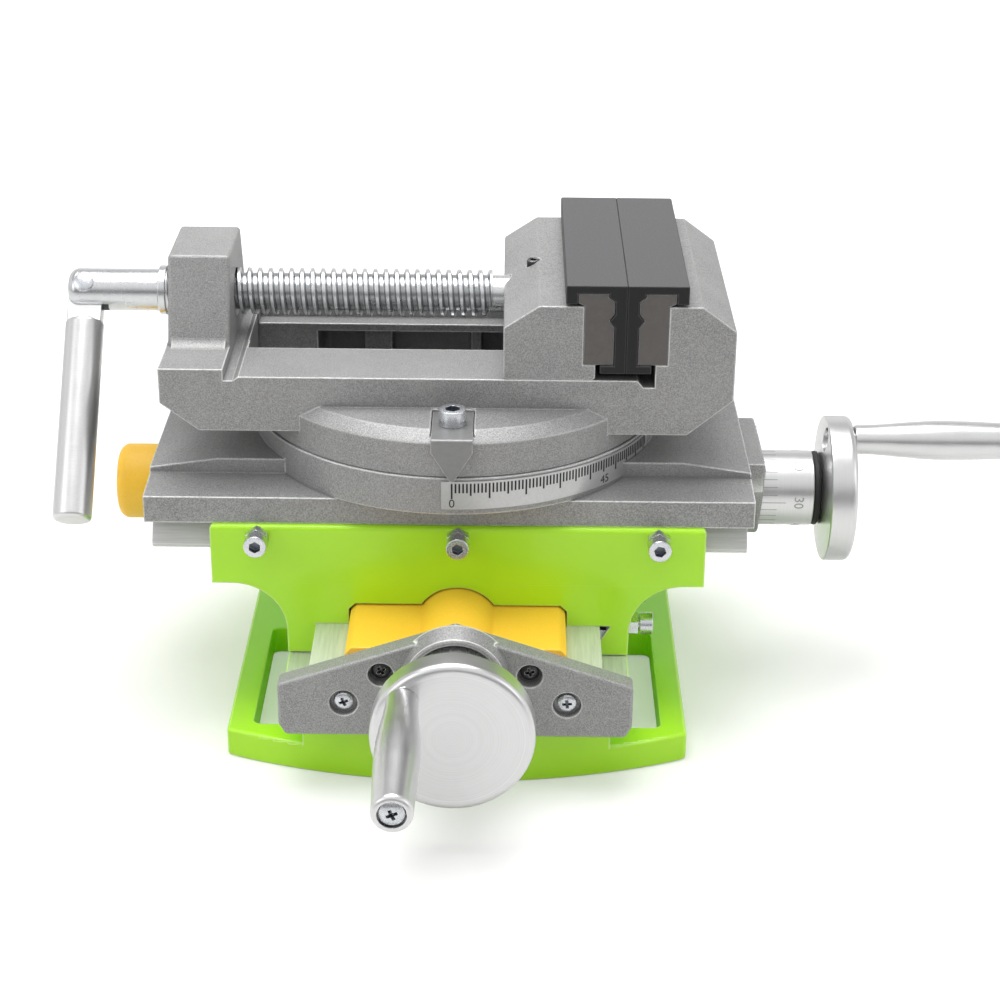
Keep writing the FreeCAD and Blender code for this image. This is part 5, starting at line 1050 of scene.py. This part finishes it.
# %% Pin and handle
PIN_AT = Vector((PIN_X * MM, 0, VISE_AXIS.z))
RIVET_R, RIVET_BASE, RIVET_DOME = 3.9, 8.0, 0.9
pin_dir = Vector((0, -math.cos(TILT), math.sin(TILT)))
hang = Vector((0, -math.sin(TILT), -math.cos(TILT)))
PIN_PLACE = stand(PIN_AT, (-1, 0, 0), tuple(-hang), tuple(pin_dir))
rivet = dome(-RIVET_BASE, -RIVET_DOME, RIVET_R, 5)[::-1] + [(-RIVET_BASE, RIVET_R)]
rivet += [(-7.0, RIVET_R), (-7.0, 3.0), (7.0, 3.0), (7.0, RIVET_R), (RIVET_BASE, RIVET_R)]
rivet += dome(RIVET_BASE, RIVET_DOME, RIVET_R, 5)
pin = lathe(rivet, 40)
pin.transform(PIN_PLACE)
piece_from(pin, "handle_pin_riveted", "vise_screw", (ZINC,), ("handle_pin",), 30)

HANDLE_STEEL = turned_steel("handle_steel", "Z", PIN_AT, (0.76, 0.76, 0.76), 0.32, 0.5)
BAR_START = 13.4
grip = lathe([(BAR_START, 0), (BAR_START, 6.6), (13.8, 7.0), (14.2, 7.2), (14.6, 7.25), (90.2, 7.25),
              (90.9, 7.1), (91.5, 6.6), (91.8, 5.9), (91.8, 0)], 72)
tab = bmesh.new()
bmesh.ops.create_cone(tab, cap_ends=True, segments=48, radius1=6.5 * MM, radius2=6.5 * MM, depth=6.0 * MM)
trim(tab, (0, 0, 0), (0, -1, 0))
rim = [e for e in tab.edges if len(e.link_faces) == 1]
end = bmesh.ops.holes_fill(tab, edges=rim, sides=0)["faces"]
moved = bmesh.ops.extrude_face_region(tab, geom=end)["geom"]
bmesh.ops.delete(tab, geom=end, context="FACES_ONLY")
move(tab, y=-14.2, verts=[g for g in moved if isinstance(g, bmesh.types.BMVert)])
crisp = [e for e in tab.edges if e.calc_face_angle(0) > 1.0]
bmesh.ops.bevel(tab, geom=crisp, offset=0.35 * MM, offset_type="OFFSET", segments=2, profile=0.5,
                affect="EDGES", clamp_overlap=True, material=-1)
bmesh.ops.recalc_face_normals(tab, faces=tab.faces)
tab.transform(PIN_PLACE)
grip.transform(stand(PIN_AT, (1, 0, 0), tuple(hang.cross(Vector((1, 0, 0)))), tuple(hang)))
handle = join(grip, tab)
piece_from(handle, "vise_handle_bar", "vise_handle", (HANDLE_STEEL,), ("vise_handle",), 30)

# %% [markdown]
# ## Small fasteners
# The gib screws are socket caps with their lock nuts, and the end plate has Phillips pan
# heads. Each is a short lathe piece with a six-sided or crossed recess cut into its head, set
# out at the same places as its solid. A gib screw ends on the slanted back of its gib. Where
# that back stands follows from the dovetail's half width, its slant and the gap for the gib.

# %% Socket cap screws
M5 = {"shank_r": 2.5, "head_r": 4.25, "head_h": 5.0, "hex_flat": 4.0, "hex_deep": 2.6}
M6 = {"shank_r": 3.0, "head_r": 5.0, "head_h": 6.0, "hex_flat": 5.0, "hex_deep": 3.0}
HEX_TURN = 0.13


def hex_bit(radius, a0, a1):
    """Six-sided cutter, turned a little so that no corner falls on an edge of the lathe work."""
    bit = plug(radius, a0, a1, sides=6)
    turn(bit, HEX_TURN)
    return bit


def socket_screw(length, shank_r, head_r, head_h, hex_flat, hex_deep):
    """Tip at zero, head at the far end of local Z."""
    crest = 0.45
    top = length + head_h
    body = [(0, 0), (0, shank_r - 0.4), (0.4, shank_r), (length, shank_r), (length, head_r - 0.15),
            (length + 0.15, head_r)]
    body += quarter(top - crest, head_r, top, head_r - crest, 3, outward=False)
    body += [(top, hex_flat * 0.66), (top, 0)]
    return carve(lathe(body, 40), [hex_bit(hex_flat / math.sqrt(3), top - hex_deep, top + 1)], shaded=True)


def set_out(make, places):
    """One bmesh with a copy of a made shape at each place."""
    group = bmesh.new()
    for place in places:
        one = make()
        one.transform(place)
        group = join(group, one)
    return group


SLANT = math.radians(30)
GIB_GAP, TIP_GAP = 3.15, 0.05
UPPER_HALF, UPPER_ROOT_Z = 50.5, 87.95
LOWER_HALF, LOWER_TOP_Z = 53.6, 47.0
NUT_H = 4.0
UNDER_HEAD = NUT_H + 0.6
FRONT_X, FRONT_FACE, FRONT_Z = (-74.0, 0.0, 74.0), 67.1, 83.6
SIDE_Y, SIDE_FACE, SIDE_Z = (-54.9, 0.0, 54.9), 64.3, 42.6
gib_back = GIB_GAP / math.cos(SLANT)
drop = UPPER_ROOT_Z - (FRONT_Z - M5["shank_r"])
front_tip = UPPER_HALF + drop * math.tan(SLANT) + gib_back + TIP_GAP
drop = LOWER_TOP_Z - (SIDE_Z + M5["shank_r"])
side_tip = LOWER_HALF - drop * math.tan(SLANT) + gib_back + TIP_GAP


def front_place(x, y):
    return stand(Vector((x, y, FRONT_Z)) * MM, (1, 0, 0), (0, 0, 1), (0, -1, 0))


def side_place(x, y, z=SIDE_Z):
    return stand(Vector((x, y, z)) * MM, (0, 1, 0), (0, 0, 1), (1, 0, 0))


front_screws = set_out(lambda: socket_screw(FRONT_FACE + UNDER_HEAD - front_tip, **M5),
                       [front_place(x, -front_tip) @ Matrix.Rotation(0.3 * x, 4, "Z") for x in FRONT_X])
piece_from(front_screws, "x_gib_screw_set", "saddle", (ZINC, RECESS_SHADE), ("x_gib_screws",), 30)
side_screws = set_out(lambda: socket_screw(SIDE_FACE + UNDER_HEAD - side_tip, **M5),
                      [side_place(side_tip, y) @ Matrix.Rotation(0.2 * y, 4, "Z") for y in SIDE_Y])
piece_from(side_screws, "y_gib_screw_set", "saddle", (ZINC, RECESS_SHADE), ("y_gib_screws",), 30)

CLAMP_TIP, CLAMP_SEAT = 105.1, 128.6
clamps = set_out(lambda: socket_screw(CLAMP_SEAT - CLAMP_TIP, **M6),
                 [Matrix.Translation(Vector((-2.0, y, CLAMP_TIP)) * MM) for y in (-65.0, 65.0)])
piece_from(clamps, "swivel_clamp_screws", "vise", (ZINC, RECESS_SHADE), ("swivel_screws",), 30)

# %% [markdown]
# The grub screw that keeps the big screw in the jaw is black. Its end is level and its rim
# just clears the high side of the sloping shoulder, so that a key goes straight in from above.

# %% Jaw grub screw
GRUB_TOP = 169.2
grub = lathe([(159.7, 0), (159.7, 1.6), (160.6, 2.5), (GRUB_TOP - 0.3, 2.5), (GRUB_TOP, 2.2),
              (GRUB_TOP, 0)], 40)
grub = carve(grub, [hex_bit(1.45, GRUB_TOP - 3.0, GRUB_TOP + 1.0)], shaded=True)
move(grub, x=27.0)
# The hex socket's faces take the matt black rubber finish as painted shade.
piece_from(grub, "jaw_grub_screw_black", "movable_jaw", (BLACK_OXIDE_AND_SHADE, RUBBER_AND_SHADE),
           ("jaw_grub_screw",), 30)

# %% [markdown]
# A thin lock nut on each gib screw keeps it from turning. Each stands with a corner upwards
# against the green face of the saddle.

# %% Lock nuts
front_nuts = set_out(lambda: plain_nut(8.0, NUT_H, 2.55), [front_place(x, -FRONT_FACE) for x in FRONT_X])
piece_from(front_nuts, "x_gib_nut_set", "saddle", (ZINC,), ("x_gib_locknuts",), 30)
side_nuts = set_out(lambda: plain_nut(8.0, NUT_H, 2.55), [side_place(SIDE_FACE, y) for y in SIDE_Y])
piece_from(side_nuts, "y_gib_nut_set", "saddle", (ZINC,), ("y_gib_locknuts",), 30)

# %% [markdown]
# The end plate is held by four Phillips pan heads. The two upper ones sit deep in the moulded
# cover and take a near-black finish as painted shade; the lower two and those of the bracket are zinc
# plated.

# %% Phillips pan heads
def pan_screw(length, angle):
    """Seat of the head at zero of local Z, shank behind it."""
    head = [(-length, 0), (-length, 1.6), (-length + 0.4, 2.0), (0, 2.0), (0, 3.45), (0.15, 3.6), (1.2, 3.6)]
    return carve(lathe(head + dome(1.2, 1.0, 3.6, 6), 40), cross_cutters(angle, 2.95, 0.5, 2.6), shaded=True)


def flat_pan_screw():
    """The bracket's screws have a lower head."""
    screw = pan_screw(16.0, 0.3)
    head = [v for v in screw.verts if v.co.z > 0.0001]
    bmesh.ops.scale(screw, verts=head, vec=(1, 1, 0.4))
    return screw


PLATE_FACE = -107.5
plate_screws = bmesh.new()
for x, z, sink, length, angle in ((-40.4, 36.6, 3.0, 16.0, 0.35), (40.4, 36.6, 3.0, 16.0, 0.1),
                                  (-26.8, 48.4, 5.0, 13.0, 0.6), (26.8, 48.4, 5.0, 13.0, 0.2)):
    one = pan_screw(length, angle)
    one.transform(stand(Vector((x, PLATE_FACE + sink, z)) * MM, (1, 0, 0), (0, 0, 1), (0, -1, 0)))
    plate_screws = join(plate_screws, one)
# Painted shade: the two upper, deeply sunk heads take the near-black finish.
for face in plate_screws.faces:
    if face.calc_center_median().z > 43 * MM:
        face.material_index = 2
piece_from(plate_screws, "end_plate_pan_heads", "base", (ZINC, RECESS_SHADE, BLACK_OXIDE_AND_SHADE),
           ("end_plate_screws",), 30)
bracket_screws = set_out(flat_pan_screw, [side_place(117.2, y, 90.4) for y in (-17.4, 17.4)])
piece_from(bracket_screws, "bracket_pan_heads", "table", (ZINC, RECESS_SHADE),
           ("x_bracket_screws",), 30)

# %% [markdown]
# ## Degree scale
# The scale is a thin light strip on the swivel's ring. Its marks are thin bars set round the
# ring, one for each degree, longer at fives and tens, and its numbers are bent to the ring.

# %% Scale strip, marks and numbers
STRIP, strip_tree, strip_skin = surface("scale_strip", (0.56, 0.56, 0.56), 0.36, 0.85)
strip_grain = grain(strip_tree, here(strip_tree), 900, 2.0)
strip_tone = mixed(strip_tree, strip_grain, (0.50, 0.50, 0.50), (0.62, 0.62, 0.62))
strip_tree.links.new(strip_tone, strip_skin.inputs["Base Color"])
strip_tree.links.new(raised(strip_tree, strip_grain, 0.06, 0.0001), strip_skin.inputs["Normal"])
strip = skin_of("degree_scale", 0.00005)
piece_from(strip, "degree_strip", "table", (STRIP,), ("degree_scale",), 20)

SCALE_R, MARKS_TOP, FIGURES_Z = 78.5, 110.9, 102.9
SCALE_END = 66
marks = bmesh.new()
for degree in range(SCALE_END + 1):
    length = 6.0 if degree % 10 == 0 else (4.8 if degree % 5 == 0 else 3.7)
    tick(marks, (0.66, 0.08, length), (0, -SCALE_R - 0.02, MARKS_TOP - length / 2), math.radians(degree))
for text, degree in (("0", 0.0), ("45", 45.5)):
    marks = join(marks, wrap(lettering(text, 3.3), SCALE_R, degree - 90, FIGURES_Z))
move(marks, x=-2.0)
piece_from(marks, "degree_marks", "table", (INK,), (), 40)
